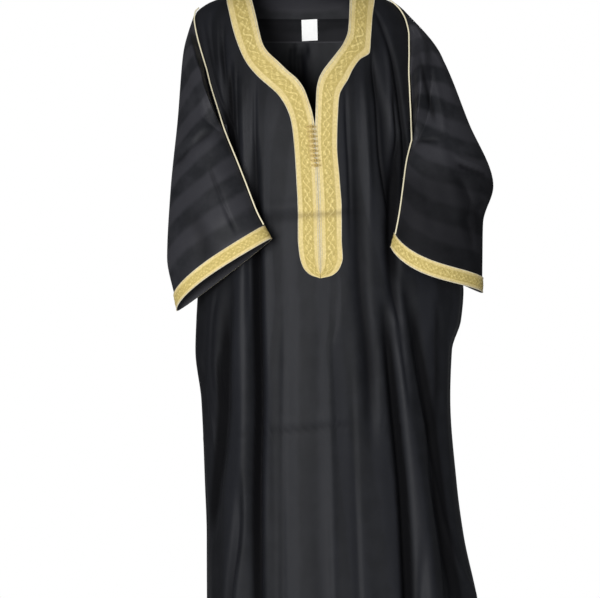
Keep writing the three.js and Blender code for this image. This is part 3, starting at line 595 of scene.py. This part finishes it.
def slab(name, outer, inner, uv, ring=False, attributes=None):
    """A closed thin wall between two grids of points, which may close on itself sideways."""
    rows, columns = outer.shape[:2]
    if ring:
        outer, inner = closed(outer), closed(inner)
        columns += 1
    count = rows * columns
    grid = np.arange(count).reshape(rows, columns)
    a, b, c, d = grid[:-1, :-1], grid[1:, :-1], grid[1:, 1:], grid[:-1, 1:]
    front_faces = np.stack([a, b, c, d], -1).reshape(-1, 4)
    back_faces = np.stack([a, d, c, b], -1).reshape(-1, 4) + count
    faces = np.concatenate([front_faces, back_faces])
    rims = [(grid[0, :-1], grid[0, 1:]), (grid[-1, 1:], grid[-1, :-1])]
    if not ring:
        rims += [(grid[1:, 0], grid[:-1, 0]), (grid[:-1, -1], grid[1:, -1])]
    for start, end in rims:
        faces = np.concatenate([faces, np.stack([start, end, end + count, start + count], -1)])
    points = np.concatenate([outer.reshape(-1, 3), inner.reshape(-1, 3)])
    uv = np.concatenate([uv.reshape(-1, 2)] * 2)
    both = {label: np.concatenate([np.ravel(v)] * 2) for label, v in (attributes or {}).items()}
    obj = new_object(name, points, faces.tolist(), uv, both)
    if ring:
        select(obj)
        edit(bpy.ops.mesh.remove_doubles, threshold=0.00001)
    sharpen(obj, 50)
    return obj


def lengths(grid, axis):
    """Distance along a grid's rows or columns from its first point."""
    steps = np.linalg.norm(np.diff(grid, axis=axis), axis=-1)
    start = np.zeros_like(np.take(steps, [0], axis=axis))
    return np.concatenate([start, np.cumsum(steps, axis=axis)], axis=axis)


def tube(name, path, radius, sides, plies=2, pitch=7.0, relief=0.16, loop=False):
    """A twisted cord along points: plies strands show as a relief that winds round it."""
    path = np.asarray(path, dtype=float)
    ahead = unit(np.gradient(path, axis=0))
    side = np.zeros_like(path)
    start = np.cross(ahead[0], [0.3, 1, 0.2])
    side[0] = start / np.linalg.norm(start)
    for i in range(1, len(path)):
        flat = side[i - 1] - ahead[i] * np.dot(side[i - 1], ahead[i])
        side[i] = flat / np.linalg.norm(flat)
    other = np.cross(ahead, side)
    along = lengths(path[:, None, :], 0)[:, 0]
    around = np.arange(sides) / sides * 2 * np.pi
    wave = np.abs(np.sin((around[None, :] + along[:, None] / pitch * 2 * np.pi) * plies / 2))
    size = radius * (1 - relief + relief * wave)
    points = path[:, None, :] + size[..., None] * (
        np.cos(around)[None, :, None] * side[:, None, :] + np.sin(around)[None, :, None] * other[:, None, :]
    )
    rows = len(path)
    index = np.arange(rows * sides).reshape(rows, sides)
    ring = np.roll(index, -1, axis=1)
    faces = np.stack([index[:-1], ring[:-1], ring[1:], index[1:]], -1).reshape(-1, 4).tolist()
    if loop:
        faces += np.stack([index[-1], ring[-1], ring[0], index[0]], -1).tolist()
    else:
        faces += [index[0][::-1].tolist(), index[-1].tolist()]
    uv = np.stack([np.repeat(along, sides), np.tile(around * radius, rows)], -1)
    return new_object(name, points.reshape(-1, 3), faces, uv, {"ply": wave.ravel()})


def even(points, step):
    """A smooth line through points, with a point every step."""
    points = np.asarray(points, dtype=float)
    place = np.concatenate([[0], np.cumsum(np.linalg.norm(np.diff(points, axis=0), axis=1))])
    fine = np.linspace(0, place[-1], max(2, int(place[-1] / step)))
    rows = {"s": place, **{axis: points[:, i] for i, axis in enumerate("xyz")}}
    return np.stack([at(rows, "s", axis, fine) for axis in "xyz"], -1)


# ---- materials ---------------------------------------------------------------
class Value:
    """A socket that arithmetic turns into Math nodes."""

    def __init__(self, finish, socket):
        self.finish, self.socket = finish, socket

    def math(self, operation, *others):
        return self.finish.node("ShaderNodeMath", {"operation": operation}, self, *others)

    def pair(operation):
        return lambda self, other: self.math(operation, other)

    __add__ = __radd__ = pair("ADD")
    __sub__, __mul__, __truediv__ = pair("SUBTRACT"), pair("MULTIPLY"), pair("DIVIDE")

    def __rsub__(self, other):
        return self * -1 + other

    def sine(self):
        return self.math("SINE")

    def above(self, low, high):
        """0 below low, 1 above high, smooth between them."""
        settings = {"interpolation_type": "SMOOTHSTEP"}
        return self.finish.node("ShaderNodeMapRange", settings, self, low, high, 0.0, 1.0)


class Finish:
    """A node material; node() adds any node and returns its first or a named output."""

    def __init__(self, name):
        self.material = bpy.data.materials.new(name)
        self.material.use_nodes = True
        self.tree = self.material.node_tree
        self.shader = next(n for n in self.tree.nodes if n.type == "BSDF_PRINCIPLED")

    def node(self, kind, settings=None, *values, output=0, **named):
        made = self.tree.nodes.new(kind)
        for key, value in (settings or {}).items():
            setattr(made, key, value)
        places = dict(enumerate(values))
        places.update({key.replace("_", " "): value for key, value in named.items()})
        for place, value in places.items():
            self.plug(made.inputs[place], value)
        return Value(self, made.outputs[output])

    def plug(self, socket, value):
        if isinstance(value, Value):
            self.tree.links.new(value.socket, socket)
        else:
            socket.default_value = value

    def set(self, **values):
        for key, value in values.items():
            self.plug(self.shader.inputs[key.replace("_", " ")], value)

    def attribute(self, name):
        return self.node("ShaderNodeAttribute", {"attribute_name": name}, output="Fac")

    def uv(self):
        """Metres across and down the cloth, and both as a vector."""
        place = self.node("ShaderNodeTexCoord", output="UV")
        split = self.node("ShaderNodeSeparateXYZ", None, place)
        return split, Value(self, split.socket.node.outputs[1]), place

    def noise(self, scale, detail=3.0, roughness=0.55, vector=None):
        vector = vector or self.node("ShaderNodeTexCoord", output="Object")
        values = {"Scale": scale, "Detail": detail, "Roughness": roughness, "Vector": vector}
        return self.node("ShaderNodeTexNoise", None, **values)

    def blend(self, factor, a, b):
        made = self.tree.nodes.new("ShaderNodeMix")
        made.data_type = "RGBA"
        self.plug(made.inputs["Factor"], factor)
        for socket, value in zip([s for s in made.inputs if s.type == "RGBA"], (a, b)):
            self.plug(socket, value)
        return Value(self, next(s for s in made.outputs if s.type == "RGBA"))

    def bump(self, height, strength, distance):
        values = {"Height": height, "Strength": strength, "Distance": distance}
        return self.node("ShaderNodeBump", None, output="Normal", **values)


def colour(red, green, blue):
    """A colour given in the 0 to 255 steps of a screen, as Blender's linear numbers."""
    def linear(step):
        share = step / 255
        return share / 12.92 if share <= 0.04045 else ((share + 0.055) / 1.055) ** 2.4
    return (linear(red), linear(green), linear(blue), 1.0)


def threads(place, pitch):
    """A wave across threads that lie a pitch apart, in millimetres."""
    return (place * (2 * math.pi / (pitch * MM))).sine()


def satin(name, stripes, dull, bright):
    """Black satin: woven bands of two sheens, a fine twill, faint unevenness, and painted shade that
    darkens the hollows.
    """
    finish = Finish(name)
    across, along, _ = finish.uv()
    painted_shade = finish.attribute("painted_shade")
    repeat = (across if stripes == "warp" else along) / (STRIPE * MM)
    wander = finish.noise(5.0, 3.0) * 0.16
    wave = ((repeat + wander) * (2 * math.pi)).sine()
    patch = finish.noise(14.0, 5.0, 0.6)
    band = (wave + (patch - 0.5) * 1.4).above(-0.5, 0.6)
    slub = finish.noise(26.0, 4.0)
    shade = finish.blend(band, colour(*dull), colour(*bright))
    worn = finish.blend(slub.above(0.3, 0.75) * 0.5, shade, colour(*[step + 4 for step in bright]))
    twill = threads(across + along * 0.6, 1.1)
    thread = threads(along, 0.8)
    wear = finish.noise(60.0, 5.0, 0.6)
    # Base Color is darkened towards near black by painted shade in folds and creases and where the cloth
    # turns from the light.
    finish.set(
        Base_Color=finish.blend(painted_shade, worn, colour(2, 2, 4)),
        Roughness=0.5 - band * 0.06 + (wear - 0.5) * 0.08 + painted_shade * 0.35,
        Normal=finish.bump(twill * 0.5 + thread * 0.3 + wear * 1.5, 0.2, 0.0004),
        Specular_IOR_Level=0.11,
        Sheen_Weight=0.015,
        Sheen_Roughness=0.4,
        Sheen_Tint=colour(205, 208, 220),
    )
    return finish.material


def braid_finish():
    """Gold braid: pale plain margins, an embroidered middle in deeper gold and greyish edge cords."""
    finish = Finish("galloon_gold")
    along, across, place = finish.uv()
    zone = finish.attribute("zone")
    relief = finish.attribute("relief")
    mottle = finish.noise(210.0, 4.0, 0.6, place)
    broad = finish.noise(16.0, 2.0)
    margin = finish.blend(mottle.above(0.3, 0.7), colour(206, 186, 126), colour(226, 207, 146))
    low = finish.blend(mottle.above(0.35, 0.65), colour(172, 152, 84), colour(196, 176, 104))
    high = finish.blend(mottle.above(0.35, 0.65), colour(212, 192, 118), colour(234, 215, 146))
    middle = finish.blend(relief.above(0.15, 0.8), low, high)
    cords = finish.blend(mottle.above(0.3, 0.7), colour(196, 188, 160), colour(222, 214, 190))
    ground = finish.blend(zone.above(0.2, 0.8), margin, middle)
    whole = finish.blend(zone.above(1.3, 1.7), ground, cords)
    tinted = finish.blend(broad.above(0.35, 0.7) * 0.3, whole, colour(196, 172, 96))
    # painted shade: the gold is darkened in the grooves of the front's creases
    painted_crease_shade = finish.attribute("painted_shade")
    tinted = finish.blend(painted_crease_shade, tinted, colour(110, 92, 48))
    weft, warp = threads(along, 0.9), threads(across, 0.9)
    finish.set(
        Base_Color=tinted,
        Roughness=0.5 + (mottle - 0.5) * 0.25,
        Metallic=0.12,
        Normal=finish.bump(weft * 0.4 + warp * 0.4 + mottle * 0.9, 0.5, 0.0004),
        Specular_IOR_Level=0.5,
        Sheen_Weight=0.15,
        Sheen_Roughness=0.5,
        Sheen_Tint=colour(255, 240, 200),
    )
    return finish.material


def cord_finish(name, painted_groove_shade, light):
    """Twisted cord, with shade painted darker in the grooves between the strands."""
    finish = Finish(name)
    ply = finish.attribute("ply")
    fibre = finish.noise(900.0, 3.0)
    # painted shade: the first colour goes into the grooves between the strands
    shade = finish.blend(ply.above(0.05, 0.6), painted_groove_shade, light)
    finish.set(
        Base_Color=finish.blend(fibre.above(0.35, 0.75) * 0.35, shade, light),
        Roughness=0.5 + (fibre - 0.5) * 0.2,
        Metallic=0.08,
        Normal=finish.bump(fibre, 0.4, 0.0003),
        Sheen_Weight=0.15,
        Sheen_Roughness=0.5,
    )
    return finish.material


def tape_finish():
    """Bare white woven tape."""
    finish = Finish("label_tape")
    across, along, _ = finish.uv()
    weave = threads(across, 0.7) * threads(along, 0.7)
    spot = finish.noise(140.0, 3.0, 0.5)
    finish.set(
        Base_Color=finish.blend(spot.above(0.3, 0.7), colour(250, 250, 249), colour(255, 255, 254)),
        Roughness=0.7 + (spot - 0.5) * 0.1,
        Normal=finish.bump(weave, 0.3, 0.0002),
        Sheen_Weight=0.1,
    )
    return finish.material


def floor_finish():
    finish = Finish("floor_paint")
    speck = finish.noise(5.0, 2.0)
    finish.set(
        Base_Color=finish.blend(speck.above(0.3, 0.7), colour(226, 226, 226), colour(232, 232, 232)),
        Roughness=0.75,
    )
    return finish.material


# ---- the pieces --------------------------------------------------------------
def finish_piece(obj, material, slot, *nodes):
    obj.data.materials.append(material)
    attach(obj, "root")
    if nodes:
        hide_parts(*nodes)


def finish_cloth(obj, grid, material, slot, node, **hang):
    """Finishes a sheet of cloth as finish_piece does; its grid is not used."""
    finish_piece(obj, material, slot, node)


def warp_line(z):
    """The warp line down the middle of the front and back, from which the stripes are counted."""
    return 28 + (NECK_Z - z) * 0.014


def make_panel(name, columns, steps, on_back, material):
    """The front or back, with its stripes counted across from the warp line."""
    angle, z = panel_places(columns, steps, on_back)
    skin = body(angle, z, CLOTH / 2)
    lining = body(angle, z, -CLOTH / 2)
    if on_back:
        skin, lining = skin[:, ::-1], lining[:, ::-1]
    across = lengths(skin, 1)
    flipped = -1 if on_back else 1
    zero = np.array([
        np.interp(flipped * warp_line(row[:, 2].mean()), flipped * row[:, 0], line)
        for row, line in zip(skin, across)
    ])
    hang = lengths(skin, 0)
    uv = np.stack([across - zero[:, None], hang[-1][None, :] - hang], -1)
    # painted shade for the satin: darker in folds and creases and where the cloth turns from the light
    painted_shade = painted_shade_share(skin[..., 0], skin[..., 2], np.full(skin.shape[:2], not on_back))
    obj = slab(name, skin, lining, uv, attributes={"painted_shade": painted_shade})
    finish_cloth(obj, skin, material, "satin", name, held="hung")


def sleeve_grid(side, times, out):
    """Rings of points round a sleeve, the same way round on both sides of the body."""
    turns = np.arange(RING) / RING
    turn, t = np.meshgrid(turns, times)
    grid = sleeve_out(side, turn, t, out + 0 * t)
    return grid if side == "right" else grid[:, ::-1]


def make_sleeve(side, material):
    """A sleeve from the armhole to the cuff; its creases fade out towards the fold edges."""
    times = np.linspace(0, 1, SLEEVE_STEPS + 1) ** 1.1
    outer, inner = sleeve_grid(side, times, CLOTH / 2), sleeve_grid(side, times, -CLOTH / 2)
    skin = closed(outer)
    down = lengths(skin, 0)
    uv = np.stack([lengths(skin, 1), down[-1][None, :] - down], -1)
    # painted shade for the satin: darker in the creases, and over the lower half of the right sleeve, which
    # turns from the light
    turns = np.linspace(0, 1, RING, endpoint=False)
    front = smooth(np.sin((turns if side == "right" else turns[::-1]) * 2 * np.pi) / 0.3)
    sunk = crease_height(f"sleeve_{side}", outer[..., 0], outer[..., 2]) * front
    painted_shade = np.clip(-sunk / 6, 0, 0.75)
    if side == "right":
        painted_shade = np.maximum(painted_shade, LOW_SHADE * smooth((LOW_TOP_Z - outer[..., 2]) / 90) * front)
    obj = slab(f"sleeve_{side}", outer, inner, uv, ring=True, attributes={"painted_shade": closed(painted_shade)})
    finish_cloth(obj, skin, material, "satin", f"sleeve_{side}", held="hung")


def braid_profile(across, along, width, inner_cords):
    """Height, colour zone and embroidery relief over a braid, by share of its width and length along it."""
    v = across * width
    hatch = 0.5 + 0.5 * np.sin(2 * np.pi * (along / 2.1 + v / 3.2))
    height = np.full(np.broadcast_shapes(np.shape(v), np.shape(along)), 0.15) + 0.05 * hatch
    zone = np.zeros(height.shape)
    cords = [1.0, width - 1.0] + ([4.2] if inner_cords else [])
    for place in cords:
        dome = np.sqrt(np.clip(1 - ((v - place) / 1.05) ** 2, 0, 1)) * (0.82 + 0.18 * hatch)
        height = np.maximum(height, 0.95 * dome)
        zone = np.where(dome > 0.25, 2.0, zone)
    low, high = (0.24, 0.78) if width > 40 else (0.2, 0.82)
    middle = smooth((across - low) / 0.03) * smooth((high - across) / 0.03)
    centre, swing = (low + high) / 2 * width, (high - low) * width * 0.27
    turn = 2 * np.pi * along / (width * 0.74)
    stem = bell(v - centre - swing * np.sin(turn), width * 0.036)
    curl_v = centre - swing * 0.75 * np.sin(turn)
    curl = bell(v - curl_v, width * 0.085) * smooth((np.abs(np.sin(turn)) - 0.5) / 0.3)
    bud = bell(v - centre, width * 0.06) * smooth((np.abs(np.cos(turn)) - 0.72) / 0.2)
    edge = sum(bell((across - place) * width, 0.8) for place in (low + 0.03, high - 0.03))
    stitched = np.clip(np.maximum.reduce([stem, curl * 0.9, bud * 0.8, edge * 0.8]), 0, 1)
    stitches = 0.72 + 0.28 * np.sin(2 * np.pi * (along / 1.6 - v / 6 + 0.2 * np.sin(turn)))
    relief = stitched * stitches
    height = np.maximum(height, middle * (0.3 + 0.85 * relief))
    zone = np.where(zone > 1, zone, middle)
    return height, zone, relief * middle


def braid_across(width, inner_cords):
    """Places across a braid, by share of its width, closer together over its cords."""
    fine = [0, 0.3, 0.65, 1.0, 1.35, 1.7, 2.05]
    cords = fine + [width - v for v in fine[::-1]]
    if inner_cords:
        cords += [3.1, 3.5, 3.85, 4.2, 4.55, 4.9, 5.3]
    start, end = (5.9, width - 2.8) if inner_cords else (2.7, width - 2.7)
    return np.unique(np.concatenate([cords, np.linspace(start, end, int((end - start) / 1.25))])) / width


def make_galloon(side, material):
    """The galloon of one side, from the shoulder round the V and down the slit to its foot."""
    rows = GALLOON[side]
    spans = np.hypot(np.diff((rows["x"] + rows["outer_x"]) / 2), np.diff((rows["z"] + rows["outer_z"]) / 2))
    place = np.concatenate([[0], np.cumsum(spans)])
    stations = np.linspace(0, place[-1], int(place[-1] / BRAID_STEP))
    line = {"s": place, **rows}
    across = braid_across(BRAID_W, True)
    inner_x, inner_z, outer_x, outer_z = (at(line, "s", name, stations)[:, None] for name in rows)
    inner_x = inner_x - SIGN[side] * SLIT_CLOSING * smooth((V_TIP_Z + 14 - inner_z) / 20)
    x, z = mix(inner_x, outer_x, across), mix(inner_z, outer_z, across)
    along = np.broadcast_to(stations[:, None], x.shape)
    z = to_shoulder(x, z, smooth((16 - along) / 16))
    # painted shade where the front's creases cross the galloon
    painted_crease_shade = np.clip(-crease_height("front", x, z) / 2, 0, 1) * 0.4
    height, zone, relief = braid_profile(across[None, :] + 0 * x, along, BRAID_W, True)
    taper = 0.4 + 0.6 * smooth((place[-1] - along) / 6)
    angle = angle_at(x, z)
    skin = body(angle, z, SHEET + BRAID + height * taper)
    foot = body(angle, z, SHEET)
    uv = np.stack([along, across[None, :] * BRAID_W + 0 * x], -1)
    grids = (skin, foot, uv, zone, relief, painted_crease_shade)
    if side == "left":
        grids = (grid[:, ::-1] for grid in grids)
    skin, foot, uv, zone, relief, painted_crease_shade = grids
    attributes = {"zone": zone, "relief": relief, "painted_shade": painted_crease_shade}
    obj = slab(f"galloon_{side}", skin, foot, uv, attributes=attributes)
    finish_cloth(obj, foot, material, "galloon", f"galloon_{side}", held="laid", rests_on=["front_panel"])


def neck_grid(half, low, end, across, stations, out):
    """A strip round the back of the neck, down to low at its middle and end at its ends."""
    u = np.linspace(1, -1, stations)[None, :]
    across = across[:, None]
    x = mix(NECK_HALF, half, across) * np.sin(u * NECK_SPAN)
    z = mix(NECK_Z, mix(low, end, u * u), across)
    z = to_shoulder(x, z, smooth((np.abs(u) - 0.9) / 0.1))
    return x, z, body(np.pi - angle_at(x, z), z, out + 0 * x)


def make_back_galloon(material):
    across = braid_across(BRAID_W, True)
    foot_out = SHEET + 2 * SEAM
    x, z, foot = neck_grid(BACK_BRAID_HALF, BACK_BRAID_LOW, BACK_BRAID_END, across, 230, foot_out)
    along = lengths(foot, 1)[len(across) // 2][None, :] + 0 * x
    height, zone, relief = braid_profile(across[:, None] + 0 * x, along, BRAID_W, True)
    skin = body(np.pi - angle_at(x, z), z, foot_out + BRAID + height)
    uv = np.stack([along, across[:, None] * BRAID_W + 0 * x], -1)
    obj = slab("galloon_back", skin, foot, uv, attributes={"zone": zone, "relief": relief})
    finish_cloth(obj, foot, material, "galloon", "galloon_back", held="laid", rests_on=["back_panel"])


def make_facing(material):
    """The facing inside the back of the neck, with shade painted darker below the galloon's seam and in the
    seam's crease, and a rolled edge.
    """
    across = np.linspace(0, 1, 60)
    x, z, _ = neck_grid(FACING_HALF, FACING_Z, FACING_Z, across, 110, 0)
    ridges = ((-31, 0.9, 1.6), (-38, -0.5, 1.4), (-45, -0.4, 1.5))
    seams = sum(height * bell(z - place, half) for place, height, half in ridges)
    rolled = 0.5 * smooth((FACING_Z + 4 - z) / 3)
    angle = np.pi - angle_at(x, z)
    face = body(angle, z, -SHEET - 0.4 - np.maximum(0, seams + rolled))
    back = body(angle, z, -SHEET + 0.2)
    uv = np.stack([lengths(face, 1), lengths(face, 0)], -1)
    # painted shade: a darker strip below the galloon's seam and a dark line in its crease
    shaded = 0.55 * smooth((FACING_SEAM_Z + 3 - z) / 3) * smooth((z - FACING_Z - 2) / 2)
    painted_facing_shade = np.maximum(shaded, 0.9 * bell(z - FACING_SEAM_Z, 1.5))
    obj = slab("neck_facing", back, face, uv, attributes={"painted_shade": painted_facing_shade})
    finish_cloth(obj, face, material, "facing", "neck_facing", held="laid", rests_on=["back_panel"])


def make_label(material):
    """A bare woven label, sewn along its top edge and curling a little off the facing below."""
    u, v = np.meshgrid(np.linspace(-0.5, 0.5, 25), np.linspace(0, 1, 31))
    x = LABEL_X + LABEL_W * u + 1.2 * v
    z = LABEL_Z - LABEL_H * v + 1.6 * u
    lift = SHEET + SOLID_FACING + LAID + 0.2 + 1.1 * v * v + 0.5 * (2 * u) ** 4 * v
    angle = np.pi - angle_at(x, z)
    face = body(angle, z, -lift - 0.4)
    back = body(angle, z, -lift)
    uv = np.stack([LABEL_W * (u + 0.5), LABEL_H * v], -1)
    obj = slab("label", back[:, ::-1], face[:, ::-1], uv[:, ::-1])
    finish_piece(obj, material, "label", "label")


def make_cuff_band(side, material):
    """The band of galloon round a cuff."""
    across = braid_across(CUFF_W, False)
    times = mix(BAND_T, 1.0, across)
    foot = sleeve_grid(side, times, SHEET)
    whole = closed(foot)
    along = lengths(whole, 1)[len(across) // 2][None, :] + 0 * whole[..., 0]
    height, zone, relief = braid_profile(across[:, None] + 0 * along, along, CUFF_W, False)
    rise = height[:, :-1] if side == "right" else height[:, :-1][:, ::-1]
    skin = sleeve_grid(side, times, SHEET + BRAID + rise)
    uv = np.stack([along, across[:, None] * CUFF_W + 0 * along], -1)
    obj = slab(f"cuff_band_{side}", skin, foot, uv, ring=True, attributes={"zone": zone, "relief": relief})
    finish_cloth(
        obj, whole, material, "galloon", f"cuff_band_{side}", held="laid", rests_on=[f"sleeve_{side}"]
    )


def make_piping(side, material):
    """Up the sleeve's seam, then round the armhole's front edge to the shoulder."""
    lift = SHEET + PIPING_R
    points = []
    for t in np.arange(*PIPING_UP, -0.08):
        turn = mix(0.045, 0.02, smooth((t - 0.2) / 0.4))
        points.append(sleeve_out(side, np.array(turn), np.array(t), lift + 0.5))
    for turn in np.arange(*PIPING_ROUND, 0.04):
        margin = LAP + PIPING_R + CLOTH + mix(0, 4, smooth((turn - 0.2) / 0.2))
        points.append(armhole_point(side, np.array(turn), margin, lift + 0.4, False))
    obj = tube(f"piping_{side}", even(points, 1.2), PIPING_R, 12)
    finish_piece(obj, material, "piping", f"piping_{side}")


def make_knots(material):
    """Knotted buttons, each a cord wound into a ball, with the cord loop that holds it."""
    ball = np.linspace(0, 2 * np.pi, 72, endpoint=False)
    radius = 2.2 + 0.7 * np.cos(3 * ball)
    wound = np.stack([radius * np.cos(2 * ball), 1.5 * np.sin(3 * ball), radius * np.sin(2 * ball)], -1)
    reach = np.array([
        (-9, 1.6, 0.3), (-6.2, 1.2, 1.2), (-2.4, 0.4, 1.9), (2.2, 0.5, 1.8), (6.5, 1.2, 1.2),
        (9.5, 1.9, 0.2), (9.5, 1.9, -0.4), (6.5, 1.2, -1.2), (2.2, 0.5, -1.9), (-2.4, 0.4, -1.9),
        (-6.2, 1.2, -1.2), (-9, 1.6, -0.5),
    ])
    for i in range(KNOTS):
        share = i / (KNOTS - 1)
        z = mix(KNOT_TOP_Z, KNOT_FOOT_Z, share)
        x = at(SLIT, "z", "x", z) - mix(7, 2, share)
        seat = body(angle_at(x, z), z, SHEET + KNOT_SEAT + SEAM + KNOT_R)
        knot = tube(f"knot_{i + 1}", wound + seat, 1.15, 8, loop=True, pitch=5)
        loop = tube(f"knot_loop_{i + 1}", even(reach + seat, 0.9), 0.75, 8, pitch=4)
        finish_piece(knot, material, "knots", f"knot_{i + 1}")
        finish_piece(loop, material, "knots")


# ---- stage -------------------------------------------------------------------
CAMERA_Y, CAMERA_Z = -4.0, -0.598
VIEW_W = 1.2  # width that the camera sees at the middle plane, metres
SENSOR = 36
FLOOR_Z, FLOOR_R = -1.5, 1.7  # metres; the hem hangs 7 cm above the floor


def make_camera():
    deselect()
    bpy.ops.object.camera_add(location=(0, CAMERA_Y, CAMERA_Z), rotation=(90 * DEG, 0, 0))
    camera = bpy.context.object
    camera.data.sensor_width = SENSOR
    camera.data.lens = SENSOR * -CAMERA_Y / VIEW_W
    camera.data.clip_end = 60
    bpy.context.scene.camera = camera


def make_floor():
    deselect()
    place = (0, 0, FLOOR_Z)
    bpy.ops.mesh.primitive_circle_add(vertices=96, radius=FLOOR_R, fill_type="NGON", location=place)
    floor = bpy.context.object
    floor.name = "floor"
    edit(bpy.ops.mesh.inset, thickness=0.03)
    bpy.ops.object.transform_apply(location=True, rotation=True, scale=True)
    floor.data.materials.append(floor_finish())


def add_light(name, place, target, size, power):
    deselect()
    bpy.ops.object.light_add(type="AREA", location=place)
    light = bpy.context.object
    light.name = name
    light.data.shape = "RECTANGLE"
    light.data.size, light.data.size_y = size
    light.data.energy = power
    ahead = np.array(target) - np.array(place)
    level = math.hypot(ahead[0], ahead[1])
    light.rotation_euler = (math.atan2(level, -ahead[2]), 0, math.atan2(ahead[1], ahead[0]) - 90 * DEG)


def make_lights():
    """Three lamps, and a world that the camera sees white but that lights the cloth softly."""
    add_light("key", (-1.1, -3.2, -0.4), (0, 0, -0.6), (1.2, 1.4), 120)
    add_light("fill", (1.9, -3.0, -0.2), (0, 0, -0.7), (1.4, 1.8), 16)
    add_light("back_fill", (0.1, 3.0, 0.2), (0, 0, -0.7), (1.2, 1.2), 50)
    world = bpy.data.worlds.new("studio")
    bpy.context.scene.world = world
    world.use_nodes = True
    tree = world.node_tree
    tree.nodes.clear()
    out = tree.nodes.new("ShaderNodeOutputWorld")
    path = tree.nodes.new("ShaderNodeLightPath")
    pick = tree.nodes.new("ShaderNodeMixShader")
    tree.links.new(path.outputs["Is Camera Ray"], pick.inputs[0])
    for place, tone, strength in ((1, (0.95, 0.97, 1, 1), 0.17), (2, (1, 1, 1, 1), 1.0)):
        sky = tree.nodes.new("ShaderNodeBackground")
        sky.inputs["Color"].default_value = tone
        sky.inputs["Strength"].default_value = strength
        tree.links.new(sky.outputs[0], pick.inputs[place])
    tree.links.new(pick.outputs[0], out.inputs["Surface"])
    bpy.context.scene.view_settings.view_transform = "Standard"


# ---- the making --------------------------------------------------------------
make_camera()
body_satin = satin("satin_body", "warp", (23, 24, 27), (28, 29, 33))
sleeve_satin = satin("satin_sleeve", "cuff", (26, 27, 30), (45, 45, 49))
gold = braid_finish()
make_panel("front_panel", columns=250, steps=(10, 34, 112), on_back=False, material=body_satin)
make_panel("back_panel", columns=200, steps=(8, 30, 110), on_back=True, material=body_satin)
for side in ("left", "right"):
    make_sleeve(side, sleeve_satin)
    make_cuff_band(side, gold)
    make_galloon(side, gold)
# the first colour of each cord is the shade painted into the grooves between its strands
piping_cord = cord_finish("piping_cord", colour(176, 164, 128), colour(228, 219, 188))
knot_cord = cord_finish("knot_cord", colour(104, 84, 38), colour(196, 170, 100))
for side in ("left", "right"):
    make_piping(side, piping_cord)
make_knots(knot_cord)
make_back_galloon(gold)
make_facing(satin("satin_facing", "cuff", (30, 31, 34), (42, 42, 46)))
make_label(tape_finish())
make_floor()
make_lights()
